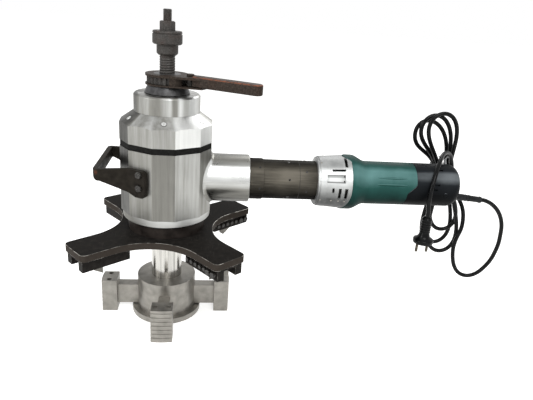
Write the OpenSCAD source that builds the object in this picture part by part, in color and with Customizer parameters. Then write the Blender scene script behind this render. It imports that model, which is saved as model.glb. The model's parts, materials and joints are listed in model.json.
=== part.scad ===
// Pipe beveling machine that grips the inside of a pipe on an expanding mandrel.
// The frame stands on the foot: +Z runs up the mandrel and +X runs out along the motor.

/* [Housing] */
// Radius over the corners of the faceted housing
body_r = 78; // [74:1:84]
// Half angle of each wide flat, in degrees
flat_half = 16.5; // [15:0.5:18]
// Height from the foot to the top face of the cutter plate
stand_h = 170; // [166:1:190]
// Height of the round ring under the housing
ring_h = 13; // [10:1:18]
// Height of the main housing
main_h = 112; // [106:1:124]
// Height of the dark seam ring
seam_h = 10; // [8:1:14]
// Height of the straight part of the upper housing
upper_h = 28.5; // [24:0.5:34]
// Height of the cone on the upper housing
cone_h = 17; // [12:1:22]
// Radius of the round top cap
cap_r = 54; // [50:1:58]
// Height of the top cap
cap_h = 29; // [26:0.5:32]
// Wall between the gear space and the outside
gear_space_r = 68; // [66:1:69]

/* [Mandrel] */
// Radius of the mandrel column
mandrel_r = 27; // [24:0.5:28]
// Radius of the threaded top of the mandrel
thread_r = 12.5; // [10:0.5:14]
// Radius of the draw rod
rod_r = 6.75; // [5:0.25:7]
// Height of the top of the draw rod
rod_top = 531; // [524:1:560]
// Width over the flats of the clamp nut
nut_flats = 21; // [18:0.5:26]
// Radius of the thrust collar under the clamp nut
collar_r = 23.5; // [20:0.5:28]
// Height of the thrust collar
collar_h = 20.5; // [16:0.5:26]
// Radius of the lock hub
hub_r = 17; // [15:0.5:19]
// Height of the lock hub
hub_h = 16.5; // [14:0.5:22]

/* [Expander] */
// Reach of the jaws from the mandrel axis
jaw_reach = 116; // [104:1:130]
// Width of a jaw leg
jaw_w = 20; // [16:0.5:21]
// Width of a jaw pad
pad_w = 36; // [30:1:44]
// Radius of the expander head
head_r = 52; // [50:1:56]
// Radius of the foot plate
foot_r = 62; // [58:1:70]

/* [Cutter] */
// Thickness of the cutter plate
plate_t = 12; // [10:0.5:13]
// Reach of an arm from the axis to its tip
arm_reach = 176; // [160:1:190]
// Width of an arm
arm_w = 62; // [58:1:68]
// Radius of the hollow between two arms
hollow_r = 92; // [86:1:96]
// Angle of the first arm at rest
arm_angle = 39; // [30:1:45]
// Radius of the round of an arm's corners
tip_round = 9; // [4:0.5:14]
// Distance of the tools in from the arm's tip
tool_in = 39; // [34:1:46]
// Height of the tool rails
rail_h = 20; // [18:0.5:24]
// Width of the tool rails
rail_w = 50; // [46:1:56]
// Width of the tool blocks
block_w = 24; // [20:0.5:28]

/* [Ratchet feed] */
// Length of the ratchet lever from the axis
lever_len = 168; // [140:1:200]
// Direction of the ratchet lever at rest
lever_angle = -29; // [-60:1:-10]
// Width of the ratchet lever
lever_w = 20; // [16:0.5:24]
// Radius of the ratchet head plates
ratchet_r = 35; // [34:0.5:37]
// Radius over the ratchet teeth
wheel_r = 33; // [30:0.5:33.5]

/* [Motor drive] */
// Height of the motor axis above the cutter plate
motor_lift = 91; // [88:0.5:95]
// Radius of the drive boss
boss_r = 41.5; // [38:0.5:43]
// Distance of the outer face of the drive boss from the axis
boss_end = 141; // [130:1:150]
// Length of the collar at the root of the gearbox tube
tube_collar_l = 25; // [20:1:30]
// Radius of the collar at the root of the gearbox tube
tube_collar_r = 36; // [34:0.5:38]
// Length of the gearbox tube
tube_l = 92; // [84:1:110]
// Radius of the gearbox tube
tube_r = 34.5; // [32:0.5:36]
// Thickness of the motor flange
motor_flange_t = 3; // [2.5:0.5:12]
// Radius of the motor flange
motor_flange_r = 43; // [38:0.5:44]
// Length of the vented housing
vent_l = 55; // [50:1:70]
// Radius of the widest part of the motor
wide_r = 48.5; // [46:0.5:52]
// Length over which the motor narrows to its barrel
shoulder_l = 27; // [14:1:28]
// Radius of the motor barrel
barrel_r = 38.5; // [37:0.5:41]
// Length of the green motor housing along its top
green_l = 120; // [105:1:130]
// Length of the black rear housing along its top
rear_l = 85; // [84:1:110]
// Wall of the motor shells
shell_t = 4; // [3:0.25:5]

/* [Handle] */
// Distance of the grip's outer face from the axis
grip_x = 110; // [104:1:130]
// Half length of the grip
grip_half = 72; // [70:1:85]
// Thickness of the handle bar
bar_t = 8; // [6:0.5:10]
// Height of the grip bar
grip_h = 19; // [12:0.5:22]
// Height of the handle's top edge above the cutter plate
grip_lift = 120; // [114:1:125]
// Height of the handle's feet
handle_foot_h = 45; // [40:1:50]

/* [Cord] */
// Radius of the power cord
cord_r = 4; // [3:0.25:4.2]
// Radius of the cord sleeve
sleeve_r = 6; // [5.5:0.25:7]
// Length of the cord sleeve outside the motor
sleeve_l = 58; // [50:1:60]
// Number of loops in the tied hank
hank_loops = 3; // [2:1:3]

/* [Clearances] */
// Radial running fit of shafts and slides
run_fit = 0.05; // [0.02:0.01:0.08]
// Radial seat of pressed and bolted pieces
seat_fit = 0.02; // [0.01:0.01:0.05]
// Gap between faces that pass each other
pass_gap = 0.3; // [0.2:0.05:0.6]

/* [Hidden] */
$fn = 64;
eps = 0.01;
through = 400;

// Travel of the joints, which the cavities leave room for
feed_down = 30;
feed_up = 14;
draw_up = 9;
wedge_slope = 0.5;

// Levels, from the foot up
plate_top = stand_h;
plate_low = plate_top - plate_t;
rail_low = plate_low - rail_h;
flange_h = 23;
ring_low = plate_top + flange_h;
main_low = ring_low + ring_h;
seam_low = main_low + main_h;
upper_low = seam_low + seam_h;
cone_low = upper_low + upper_h;
cap_low = cone_low + cone_h;
cap_top = cap_low + cap_h;
apothem = body_r * cos(flat_half);
motor_z = plate_top + motor_lift;

// Foot and expander
foot_t = 10;
head_h = 62;
head_top = foot_t + head_h;
wedge_low = foot_t + 10;
wedge_h = 34;
wedge_half = 30;
jaw_low = foot_t + 2;
jaw_leg_h = 38;
jaw_top = jaw_low + jaw_leg_h;
pad_t = 28;
pad_h = 62;
pad_top = pad_h;
spigot_r = 20;
spigot_l = 8;
head_screw_l = 14;
head_screw_in = 6;
cavity_half = wedge_half + 1.5;
cavity_top = wedge_low + wedge_h + draw_up + 1;

// Spindle, bearings and gears
spindle_r = 42;
spindle_bore = 33;
spindle_top = seam_low - 2;
flange_r = 66;
low_bearing_r = 60;
low_bearing_h = 18;
low_bearing_z = ring_low + 3;
top_bearing_r = 58;
top_bearing_h = 16;
top_bearing_z = seam_low - top_bearing_h;
floor_t = 8;
roof_t = 18;
crown_r = 66;
crown_h = 18;
pinion_r = 18;
pinion_root = 14.5;
pinion_teeth = 12;
pinion_x0 = spindle_r + 2;
pinion_l = 20;
pinion_shaft_r = 10;
crown_teeth = 40;
crown_top = motor_z - pinion_r - pass_gap;
crown_tooth = 4;
spindle_bolt_ring = 55;
spindle_bolt_r = 4;
spindle_bolts = 6;

// Guide on the mandrel
bush_r = 45;
bush_flange_r = 50;
bush_flange_t = 8;
bush_low = upper_low - bush_flange_t;
bush_top = upper_low + 37;
key_w = 8;
key_in = mandrel_r - 5;
key_out = mandrel_r + 9;
key_low = bush_low + 4;
key_l = 34;
mandrel_top = bush_top - 17;

// Feed nut, ratchet and lock hub
nut_journal_r = 20;
nut_flange_r = 25;
nut_flange_t = 6;
nut_low = cap_top - 19;
cap_room = nut_low + nut_flange_t + pass_gap;
washer_r = 28;
skirt_low = cap_top + 0.8;
skirt_r = 37;
skirt_top_r = 31;
skirt_top = skirt_low + 12.5;
seat_r = 22;
ratchet_low = skirt_top + pass_gap;
lower_plate = 2.2;
ratchet_plate = 3.5;
ratchet_wall = 4;
wheel_low = ratchet_low + lower_plate + pass_gap;
wheel_h = 11;
upper_plate = wheel_low + wheel_h + pass_gap;
ratchet_top = upper_plate + ratchet_plate;
wheel_teeth = 24;
tooth_depth = 3;
lever_h = 17;
lever_low = ratchet_low + 2.4;
lever_root = 52;
neck_end = lever_root + 18;
neck_wide = 0.84;
pawl_pin_r = 3;
pawl_at = 43;
hub_low = ratchet_top + feed_up + 14.5;
thread_top = hub_low + 10;
collar_low = hub_low + hub_h;
nut_z = collar_low + collar_h;
nut_h = 14.5;

// Stations along the motor axis
tube_x = boss_end + tube_collar_l;
flange_x = tube_x + tube_l;
vent_x = flange_x + motor_flange_t;
green_x = vent_x + vent_l;
barrel_x = green_x + shoulder_l;
rear_x = green_x + green_l;
rear_end = rear_x + rear_l;
rear_slant = 16;
rear_round = 18;
boss_bore = 30;
tube_bore = 30;
vent_front_r = 44;
pinion_bearing_x = boss_end - 35;
pinion_bearing_l = 22;
coupling_x = tube_x + 28;
coupling_l = 20;
coupling_r = 14;
armature_shaft_r = 6;
core_x = barrel_x - 10;
core_l = 62;
core_r = 22;
stator_bore = 24;
fan_x = vent_x + 18;
fan_r = 34;
rear_web_x = rear_x + 36;
rear_web_t = 6;
screw_r = 2;

// Carry handle, on the two flats either side of -X
foot_on = apothem;
foot_left = 18;
foot_right = 14;
handle_top = plate_top + grip_lift;
bolt_space = 22;
handle_bolt_drop = 17;
handle_bolt_r = 3;
handle_bolt_in = apothem - gear_space_r + 1.2;

// Rails and tools under the arms
rail_from = 90;
rail_to = arm_reach - 3;
slot_roof = plate_low - 5;
tool_r = arm_reach - tool_in;
screw_every = 11;
small_screws = 5;
small_screw_at = rail_from + 8;
large_screws = 2;
large_screw_every = 12;
large_screw_at = rail_to - 20;
rail_screw_in = 8;

// Rocker switch in the rear housing
switch_l = 22;
switch_w = 10;
switch_deep = 9;
switch_angle = 215;
switch_at = rear_web_x + 5.5;

// Cord sleeve: a straight, slightly drooping tube out of the rear end
sleeve_at = [rear_end - 6, 0, motor_z - 20];
sleeve_droop = 6;
sleeve_hole = sleeve_r + seat_fit;
cord_start = sleeve_at + (sleeve_l + 6) * [cos(sleeve_droop), 0, -sin(sleeve_droop)];

// Hank: loops pinched at a tied waist. Each loop has a reach, a width and a bend along its spine
waist = [524, 48, 272];
waist_half = 12;
hank_pitch = 9.4;
hank_lean = 9;
hank_up = [-sin(hank_lean), 0, cos(hank_lean)];
hank_top = [[104, 52, 0.55], [111, 54, 0.3], [113, 54, 0.1]];
hank_low = [[160, 58, 0.05], [128, 50, -0.05], [172, 60, 0.01]];
top_ease = 0.25;
low_ease = 0.1;
hank_rings = 24;
hank_sides = 6;
hank_points = [for (i = [0 : hank_loops * hank_rings]) hank_at(90 + 360 * i / hank_rings)];

// Route of the lead, from the sleeve down, round and up behind the motor
lead_points = concat(
  [cord_start, cord_start + 10 * [cos(sleeve_droop), 0, -sin(sleeve_droop)]],
  [[603, 0, 227], [618, 1, 215], [630, 3, 199], [638, 5, 180], [642, 8, 160], [644, 10, 140],
   [643, 13, 120], [639, 15, 101], [631, 18, 83], [619, 21, 67], [602, 25, 59], [585, 29, 64],
   [574, 32, 79], [569, 35, 98], [568, 38, 117], [571, 39, 137], [577, 40, 156], [580, 46, 174],
   [580, 55, 192], [574, 64, 208], [563, 71, 223], [550, 75, 239], [541, 76, 256]],
  [hank_points[0] - 8 * hank_up, hank_points[0]]);

// Route of the tail, over the motor and down its front to the plug
tail_end = [460, -47, 214];
tail_top = hank_points[len(hank_points) - 1];
tail_points = concat(
  [tail_top, tail_top + 8 * hank_up],
  [[532, 47, 291], [524, 40, 305], [513, 31, 314], [500, 18, 316], [489, 3, 313], [480, -12, 307],
   [471, -26, 298], [464, -37, 285], [459, -44, 269], [457, -47, 252], [458, -47, 235]],
  [tail_end + [0, 0, 10], tail_end]);

// Plug
plug_grip_r = 8;
plug_grip_l = 24;
plug_body_l = 24;
plug_face_r = 18;
plug_pin_r = 2.4;
plug_pin_l = 19;
plug_pin_gap = 19;

// Functions for cords
function unit(v) = v / norm(v);

// A point of the hank at a running angle: 90 is the waist on the way up
function hank_at(a) =
  let (rise = -cos(a),
       loop = (rise > 0 ? hank_top : hank_low)[min(floor((a - 90) / 360), hank_loops - 1)],
       ease = rise > 0 ? top_ease : low_ease,
       up = loop[0] * ((1 - ease) * rise + ease * pow(rise, 3)),
       out = sin(a) * (waist_half + loop[1] * rise * rise),
       lean = hank_lean + loop[2] * up,
       bow = 180 / PI / loop[2])
  waist + [
    bow * (cos(lean) - cos(hank_lean)) + out * cos(lean),
    hank_pitch * (hank_loops - (a - 90) / 360),
    bow * (sin(lean) - sin(hank_lean)) + out * sin(lean)];

// A smooth curve through the route's points, with a few steps between each two
function spline_at(p, i, t) =
  let (a = p[max(i - 1, 0)], b = p[i], c = p[i + 1], d = p[min(i + 2, len(p) - 1)])
  0.5 * (2 * b + (c - a) * t + (2 * a - 5 * b + 4 * c - d) * t * t + (3 * b - a - 3 * c + d) * t * t * t);
function spline(p, steps) = concat(
  [for (i = [0 : len(p) - 2]) for (k = [0 : steps - 1]) spline_at(p, i, k / steps)],
  [p[len(p) - 1]]);

// Least distance between two stretches of a route that are not neighbours along it
function least_gap(p, apart) = min([for (i = [0 : len(p) - 1 - apart])
  for (j = [i + apart : len(p) - 1]) norm(p[i] - p[j])]);

hank_fine = [for (i = [0 : hank_loops * 72]) hank_at(90 + 5 * i)];
echo(hank_gap = least_gap(hank_fine, 12) - 2 * cord_r);

// A round tube along points; the reference vector is never along the route
module tube(points, radius, sides, reference) {
  last = len(points) - 1;
  rings = [for (i = [0 : last])
    let (t = unit(points[min(i + 1, last)] - points[max(i - 1, 0)]),
         n = unit(cross(reference, t)),
         b = cross(t, n))
    for (k = [0 : sides - 1])
      points[i] + radius * (cos(360 * k / sides) * n + sin(360 * k / sides) * b)];
  walls = [for (i = [0 : last - 1]) for (k = [0 : sides - 1])
    let (a = i * sides + k, b = i * sides + (k + 1) % sides)
    for (f = [[a, b, b + sides], [a, b + sides, a + sides]]) f];
  caps = [for (k = [1 : sides - 2])
    for (f = [[0, k + 1, k], [last * sides, last * sides + k, last * sides + k + 1]]) f];
  polyhedron([for (p = rings) p], [for (f = concat(walls, caps)) [f[2], f[1], f[0]]], convexity = 8);
}

// Placing helpers
module along_motor(x) {
  translate([x, 0, motor_z]) rotate([0, 90, 0]) children();
}

module around(count, start = 0) {
  for (k = [0 : count - 1]) rotate(start + 360 * k / count) children();
}

module ring(outer, inner, height) {
  difference() {
    cylinder(r = outer, h = height);
    translate([0, 0, -1]) cylinder(r = inner, h = height + 2);
  }
}

// Outline of the housing: six wide flats and six narrow ones on one circle of corners
module housing_outline(radius) {
  polygon([for (k = [0 : 5]) for (s = [-1, 1])
    radius * [cos(60 * k + s * flat_half), sin(60 * k + s * flat_half)]]);
}

// A cut through the motor shell at one angle about the motor axis; 0 faces -Y, 90 faces up
module shell_cut(angle, x, length, width, inner, outer) {
  along_motor(x) rotate(-90 - (90 - angle) + 180) translate([-outer, -width / 2, 0])
    cube([outer - inner, width, length]);
}

// A curved slot of one width along the motor, between two angles about its axis
module shell_arc(from, to, x, width, inner, outer) {
  along_motor(x) rotate(-180 + 90 - to + 180) rotate_extrude(angle = to - from)
    translate([inner, 0]) square([outer - inner, width]);
}

// Mandrel and expander
module mandrel() {
  color("lightgray") difference() {
    union() {
      translate([0, 0, head_top - spigot_l]) cylinder(r = spigot_r, h = spigot_l + 1);
      translate([0, 0, head_top]) cylinder(r = mandrel_r, h = mandrel_top - head_top);
      translate([0, 0, mandrel_top - 1]) cylinder(r = thread_r, h = thread_top - mandrel_top + 1);
    }
    cylinder(r = rod_r + pass_gap, h = rod_top);
    translate([-key_w / 2 - run_fit, key_in - run_fit, key_low - feed_down - 2])
      cube([key_w + 2 * run_fit, mandrel_r, mandrel_top]);
  }
}

module expander_head() {
  color("gray") difference() {
    translate([0, 0, foot_t]) cylinder(r = head_r, h = head_top - foot_t);
    translate([0, 0, head_top - spigot_l]) cylinder(r = spigot_r + seat_fit, h = spigot_l + 1);
    translate([0, 0, foot_t]) cylinder(r = rod_r + 1, h = head_top);
    translate([-cavity_half, -cavity_half, foot_t - 1])
      cube([2 * cavity_half, 2 * cavity_half, cavity_top - foot_t + 1]);
    around(4) translate([0, -jaw_w / 2 - run_fit, foot_t - 1])
      cube([head_r + 10, jaw_w + 2 * run_fit, jaw_top + run_fit - foot_t + 1]);
    around(4, 45) translate([head_r - head_screw_in, 0, foot_t - 1])
      cylinder(r = screw_r + 1, h = head_screw_l);
  }
}

module foot_plate() {
  color("dimgray") union() {
    cylinder(r = foot_r, h = foot_t);
    around(4, 45) translate([head_r - head_screw_in, 0, foot_t - 1])
      cylinder(r = screw_r + 1 - seat_fit, h = head_screw_l - 3);
  }
}

module lock_hub() {
  color("#4a4542") difference() {
    translate([0, 0, hub_low]) rotate_extrude() polygon([[0, 0], [hub_r - 3, 0], [hub_r, 3],
      [hub_r, hub_h], [0, hub_h]]);
    translate([0, 0, hub_low - 1]) cylinder(r = thread_r + seat_fit, h = thread_top - hub_low + 1);
    translate([0, 0, hub_low]) cylinder(r = rod_r + pass_gap, h = hub_h + 1);
  }
}

module thrust_collar() {
  groove = 1.2;
  color("#4a4542") difference() {
    translate([0, 0, collar_low]) rotate_extrude() polygon([[rod_r + pass_gap, 0], [collar_r - 2, 0],
      [collar_r, 2], [collar_r, collar_h - 5], [collar_r - groove, collar_h - 4.6],
      [collar_r - groove, collar_h - 3.4], [collar_r, collar_h - 3], [collar_r - 1, collar_h],
      [rod_r + pass_gap, collar_h]]);
  }
}

module draw_rod() {
  color("darkgray") translate([0, 0, wedge_low]) cylinder(r = rod_r, h = rod_top - wedge_low);
}

module expander_wedge() {
  half_top = wedge_half - wedge_slope * wedge_h;
  side = [[-wedge_half, 0], [wedge_half, 0], [half_top, wedge_h], [-half_top, wedge_h]];
  color("silver") translate([0, 0, wedge_low]) difference() {
    intersection() {
      rotate([90, 0, 0]) linear_extrude(4 * wedge_half, center = true) polygon(side);
      rotate([90, 0, 90]) linear_extrude(4 * wedge_half, center = true) polygon(side);
    }
    translate([0, 0, -1]) cylinder(r = rod_r + seat_fit, h = wedge_h + 2);
  }
}

module clamp_nut() {
  color("#4f4a46") translate([0, 0, nut_z]) difference() {
    intersection() {
      cylinder(r = nut_flats / sqrt(3), h = nut_h, $fn = 6);
      rotate_extrude() polygon([[0, 0], [nut_flats / sqrt(3), 0], [nut_flats / sqrt(3), nut_h - 1.5],
        [nut_flats / 2, nut_h], [0, nut_h]]);
    }
    translate([0, 0, -1]) cylinder(r = rod_r + run_fit, h = nut_h + 2);
  }
}

// A jaw: leg in the head's slot, sloped to the wedge, and a wide pad with a grooved face
module jaw(number) {
  inner_low = wedge_half - wedge_slope * (jaw_low - wedge_low) + pass_gap;
  inner_top = wedge_half - wedge_slope * (jaw_top - wedge_low) + pass_gap;
  pad_in = jaw_reach - pad_t;
  color("#8d8f92") rotate(90 * (number - 1)) difference() {
    union() {
      rotate([90, 0, 0]) linear_extrude(jaw_w, center = true)
        polygon([[inner_low, jaw_low], [pad_in + 1, jaw_low], [pad_in + 1, jaw_top], [inner_top, jaw_top]]);
      intersection() {
        translate([pad_in, -pad_w / 2, 0]) cube([pad_t, pad_w, pad_top]);
        cylinder(r = jaw_reach, h = pad_top);
      }
    }
    for (z = [8 : 8 : pad_top - 4]) translate([0, 0, z]) ring(jaw_reach + 5, jaw_reach - 1.2, 2);
    for (s = [-1, 1]) translate([pad_in + pad_t / 2, s * pad_w / 3.2, pad_top - 5])
      cylinder(r = 4, h = 6);
  }
}

// Housing
module main_housing() {
  color("#c9cbcc") difference() {
    translate([0, 0, main_low]) linear_extrude(main_h) housing_outline(body_r);
    translate([0, 0, main_low + floor_t]) cylinder(r = gear_space_r, h = main_h - floor_t - roof_t);
    translate([0, 0, main_low - 1]) cylinder(r = low_bearing_r + seat_fit, h = floor_t + 2);
    translate([0, 0, seam_low - roof_t - 1]) cylinder(r = top_bearing_r + seat_fit, h = roof_t + 2);
    along_motor(gear_space_r / 2) cylinder(r = boss_bore, h = body_r);
    handle_bolt_places() cylinder(r = handle_bolt_r + seat_fit, h = 2 * handle_bolt_in + 6, center = true);
  }
}

module lower_ring() {
  color("#d2d4d5") translate([0, 0, ring_low]) difference() {
    rotate_extrude() polygon([[spindle_r + 3, 0], [apothem - 1.5, 0], [apothem, 1.5], [apothem, ring_h],
      [low_bearing_r + seat_fit, ring_h], [low_bearing_r + seat_fit, low_bearing_z - ring_low],
      [spindle_r + 3, low_bearing_z - ring_low]]);
  }
}

module seam_ring() {
  color("#2a2a28") translate([0, 0, seam_low]) difference() {
    linear_extrude(seam_h) housing_outline(body_r - 0.8);
    translate([0, 0, -1]) cylinder(r = bush_flange_r + 2, h = seam_h + 2);
  }
}

module upper_housing() {
  color("#c9cbcc") difference() {
    intersection() {
      translate([0, 0, upper_low]) linear_extrude(cap_low - upper_low) housing_outline(body_r);
      translate([0, 0, upper_low]) rotate_extrude() polygon([[0, 0], [body_r + 2, 0],
        [body_r + 2, upper_h - 2 * cone_h / (body_r - cap_r)], [cap_r, upper_h + cone_h],
        [0, upper_h + cone_h]]);
    }
    translate([0, 0, upper_low - 1]) cylinder(r = bush_r + seat_fit, h = cap_low);
    cone_screw_places() cylinder(r = screw_r + seat_fit, h = 24, center = true);
    cone_screw_places() cylinder(r = 5, h = 20);
  }
}

// Places of the six cap screws, square to the cone over the narrow flats
module cone_screw_places() {
  slope = atan2(cone_h, body_r - cap_r);
  around(6, 30) translate([(body_r + cap_r) / 2, 0, (cone_low + cap_low) / 2])
    rotate([0, slope, 0]) translate([0, 0, -2]) children();
}

module cone_screws() {
  color("#55534f") cone_screw_places() difference() {
    union() {
      cylinder(r = 4, h = 2.4);
      translate([0, 0, -10]) cylinder(r = screw_r, h = 11);
    }
    translate([0, 0, 1]) cylinder(r = 2, h = 3, $fn = 6);
  }
}

module top_cap() {
  color("#cfd1d2") translate([0, 0, cap_low]) difference() {
    rotate_extrude() polygon([[0, 0], [cap_r, 0], [cap_r, cap_h - 2.5], [cap_r - 2.5, cap_h], [0, cap_h]]);
    translate([0, 0, -1]) cylinder(r = mandrel_r + 2, h = cap_room - cap_low + 1);
    cylinder(r = nut_journal_r + run_fit, h = cap_h + 1);
  }
}

module guide_bush() {
  color("#b5894a") difference() {
    union() {
      translate([0, 0, bush_low]) cylinder(r = bush_r, h = bush_top - bush_low);
      translate([0, 0, bush_low]) cylinder(r = bush_flange_r, h = bush_flange_t);
    }
    cylinder(r = mandrel_r + run_fit, h = cap_top);
    translate([-key_w / 2 - seat_fit, 0, key_low - seat_fit])
      cube([key_w + 2 * seat_fit, key_out + seat_fit, key_l + 2 * seat_fit]);
  }
}

module guide_key() {
  color("dimgray") translate([-key_w / 2, key_in, key_low]) cube([key_w, key_out - key_in, key_l]);
}

module lower_bearing() {
  color("#a9adb2") translate([0, 0, low_bearing_z])
    ring(low_bearing_r, spindle_r + run_fit, low_bearing_h);
}

module upper_bearing() {
  color("#a9adb2") translate([0, 0, top_bearing_z])
    ring(top_bearing_r, spindle_r + run_fit, top_bearing_h);
}

// Carry handle: a bent flat bar on the two flats either side of -X
module handle_bolt_places() {
  for (s = [-1, 1]) for (k = [-1, 1])
    rotate(180 - s * 60) translate([foot_on, -s * 4, handle_top - handle_bolt_drop + k * bolt_space / 2])
      rotate([0, 90, 0]) children();
}

// Plan of the bent bar: foot on the flat, leg out to the grip, and the same mirrored
module handle_plan() {
  out = [cos(120), sin(120)];
  back = [-sin(120), cos(120)];
  half = [foot_on * out - foot_right * back,
    (foot_on + bar_t) * out - foot_right * back,
    (foot_on + bar_t) * out + foot_left * back,
    [-grip_x, grip_half]];
  inside = [[-grip_x + bar_t, grip_half - bar_t], foot_on * out + foot_left * back];
  mirrored = [for (k = [3 : -1 : 0]) [half[k].x, -half[k].y]];
  mirrored_inside = [for (k = [1 : -1 : 0]) [inside[k].x, -inside[k].y]];
  polygon(concat(half, mirrored, mirrored_inside, inside));
}

module carry_handle() {
  low = handle_top - handle_foot_h;
  color("#33302c") difference() {
    intersection() {
      translate([0, 0, low]) linear_extrude(handle_foot_h) handle_plan();
      rotate([90, 0, 0]) linear_extrude(4 * grip_half, center = true)
        polygon([[0, low], [-apothem * 0.6, low], [-grip_x + bar_t + 2, handle_top - grip_h],
          [-2 * grip_x, handle_top - grip_h], [-2 * grip_x, handle_top + 1], [0, handle_top + 1]]);
    }
    handle_bolt_places() cylinder(r = handle_bolt_r + seat_fit, h = 4 * bar_t, center = true);
  }
}

module handle_bolts() {
  color("#6d6a66") handle_bolt_places() union() {
    translate([0, 0, -handle_bolt_in]) cylinder(r = handle_bolt_r, h = bar_t + handle_bolt_in + 1);
    translate([0, 0, bar_t]) cylinder(r = handle_bolt_r + 2.5, h = 4);
  }
}

// Drive
module drive_boss() {
  color("#cfd1d2") difference() {
    along_motor(body_r / 2) rotate_extrude() polygon([[0, 0], [boss_r, 0],
      [boss_r, boss_end - body_r / 2 - 2],
      [boss_r - 2, boss_end - body_r / 2], [0, boss_end - body_r / 2]]);
    translate([0, 0, main_low - 1]) linear_extrude(main_h + 2) housing_outline(body_r);
    along_motor(body_r / 2) cylinder(r = boss_bore, h = boss_end - body_r / 2 - 8);
    along_motor(body_r / 2) cylinder(r = pinion_shaft_r + 3, h = boss_end);
  }
}

module pinion_bearing() {
  color("#a9adb2") along_motor(pinion_bearing_x)
    ring(boss_bore - seat_fit, pinion_shaft_r + run_fit, pinion_bearing_l);
}

module pinion_shaft() {
  color("silver") along_motor(pinion_x0) union() {
    linear_extrude(pinion_l) polygon([for (k = [0 : 4 * pinion_teeth - 1])
      (k % 4 < 2 ? pinion_r : pinion_root)
      * [cos(90 * k / pinion_teeth), sin(90 * k / pinion_teeth)]]);
    cylinder(r = pinion_shaft_r, h = coupling_x - pinion_x0 + 1);
    translate([0, 0, coupling_x - pinion_x0]) cylinder(r = coupling_r, h = coupling_l);
  }
}

module tube_collar() {
  color("#4c4642") along_motor(boss_end) difference() {
    rotate_extrude() polygon([[pinion_shaft_r + run_fit, 0], [tube_collar_r, 0],
      [tube_collar_r, tube_collar_l - 3], [tube_collar_r - 1.2, tube_collar_l],
      [pinion_shaft_r + run_fit, tube_collar_l]]);
  }
}

module gearbox_tube() {
  color("#4c4642") difference() {
    along_motor(tube_x) ring(tube_r, tube_bore, tube_l);
    tube_screw_places() cylinder(r = screw_r + seat_fit, h = 20, center = true);
  }
}

// Two rings of set screws round the tube
module tube_screw_places() {
  for (p = [[tube_x + 43, 13], [flange_x - 19, 48]]) along_motor(p[0]) around(6, p[1])
    translate([tube_r, 0, 0]) rotate([0, 90, 0]) children();
}

module tube_screws() {
  color("#8b8782") tube_screw_places() difference() {
    translate([0, 0, -3]) cylinder(r = screw_r, h = 3.4);
    translate([0, 0, -1]) cylinder(r = 1, h = 3, $fn = 6);
  }
}

// Closed planetary unit in the tube, between the coupling and the motor
module reduction_unit() {
  start = coupling_x + coupling_l + pass_gap;
  color("#6f7276") along_motor(start)
    ring(tube_bore - seat_fit, armature_shaft_r + run_fit, flange_x - start);
}

module motor_flange() {
  color("#3c3f42") along_motor(flange_x) difference() {
    rotate_extrude() polygon([[armature_shaft_r + run_fit, 0],
      [motor_flange_r - 1.5, 0], [motor_flange_r, 1.5],
      [motor_flange_r, motor_flange_t], [armature_shaft_r + run_fit, motor_flange_t]]);
  }
}

module vent_housing() {
  front_slots = [[0.38, -8, 4], [0.585, -23.5, 5], [0.78, -23.5, 5.5]];
  color("#c4c6c6") difference() {
    along_motor(vent_x) rotate_extrude() polygon([[vent_front_r - shell_t, 0], [vent_front_r - 1, 0],
      [vent_front_r, 1], [wide_r, vent_l], [wide_r - shell_t, vent_l]]);
    for (side = [0, 180]) along_vent(side) {
      for (s = front_slots) shell_arc(s[1], 2.5, vent_x + s[0] * vent_l, s[2], wide_r - 12, wide_r + 5);
      shell_cut(48.5, vent_x + 0.37 * vent_l, 0.42 * vent_l, 4, wide_r - 12, wide_r + 5);
      shell_arc(49, 76, vent_x + 0.78 * vent_l, 5, wide_r - 12, wide_r + 5);
    }
  }
}

// Turns a cut half a turn about the motor axis for the far side
module along_vent(side) {
  translate([0, 0, motor_z]) rotate([side, 0, 0]) translate([0, 0, -motor_z]) children();
}

// Everything behind the slanted joint between the two motor shells
module behind_joint(shift) {
  along_motor(0) rotate([90, 0, 0]) linear_extrude(4 * wide_r, center = true)
    polygon([[-2 * wide_r, rear_x + shift + rear_slant * 0.5 * (wide_r * 2 / barrel_r - 1)],
      [2 * wide_r, rear_x + shift - rear_slant * 0.5 * (wide_r * 2 / barrel_r + 1)],
      [2 * wide_r, through * 3], [-2 * wide_r, through * 3]]);
}

module motor_housing() {
  inner = barrel_r - shell_t;
  color("#3f6b63") difference() {
    along_motor(green_x) rotate_extrude() polygon([[wide_r - shell_t, 0], [wide_r, 0], [wide_r, 4],
      [barrel_r + 3, shoulder_l - 5], [barrel_r, shoulder_l], [barrel_r, green_l + 20],
      [inner, green_l + 20], [inner, shoulder_l - 4]]);
    behind_joint(0);
  }
}

module rear_housing() {
  inner = barrel_r - shell_t;
  reach = rear_l + rear_slant + 10;
  start = rear_end - reach;
  steps = 8;
  dome = [for (k = [0 : steps]) [barrel_r - rear_round + rear_round * cos(90 * k / steps),
    reach - rear_round + rear_round * sin(90 * k / steps)]];
  color("#3b4044") difference() {
    intersection() {
      along_motor(start) rotate_extrude() polygon(concat([[0, 0], [barrel_r, 0]], dome, [[0, reach]]));
      behind_joint(0);
    }
    along_motor(start - 1) cylinder(r = inner, h = rear_web_x - start + 1);
    along_motor(start) cylinder(r = armature_shaft_r + run_fit, h = rear_web_x - start + rear_web_t + 1);
    for (side = [0, 180]) along_vent(side) {
      shell_cut(60, rear_x + 38, 12, 3, barrel_r - 3, barrel_r + 5);
      shell_cut(16.5, rear_x + 27, 14, 3, barrel_r - 3, barrel_r + 5);
      shell_cut(4, rear_x + 27, 10.5, 3, barrel_r - 3, barrel_r + 5);
    }
    translate(sleeve_at) rotate([0, 90 + sleeve_droop, 0]) cylinder(r = sleeve_hole, h = sleeve_l);
    switch_room();
  }
}

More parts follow.
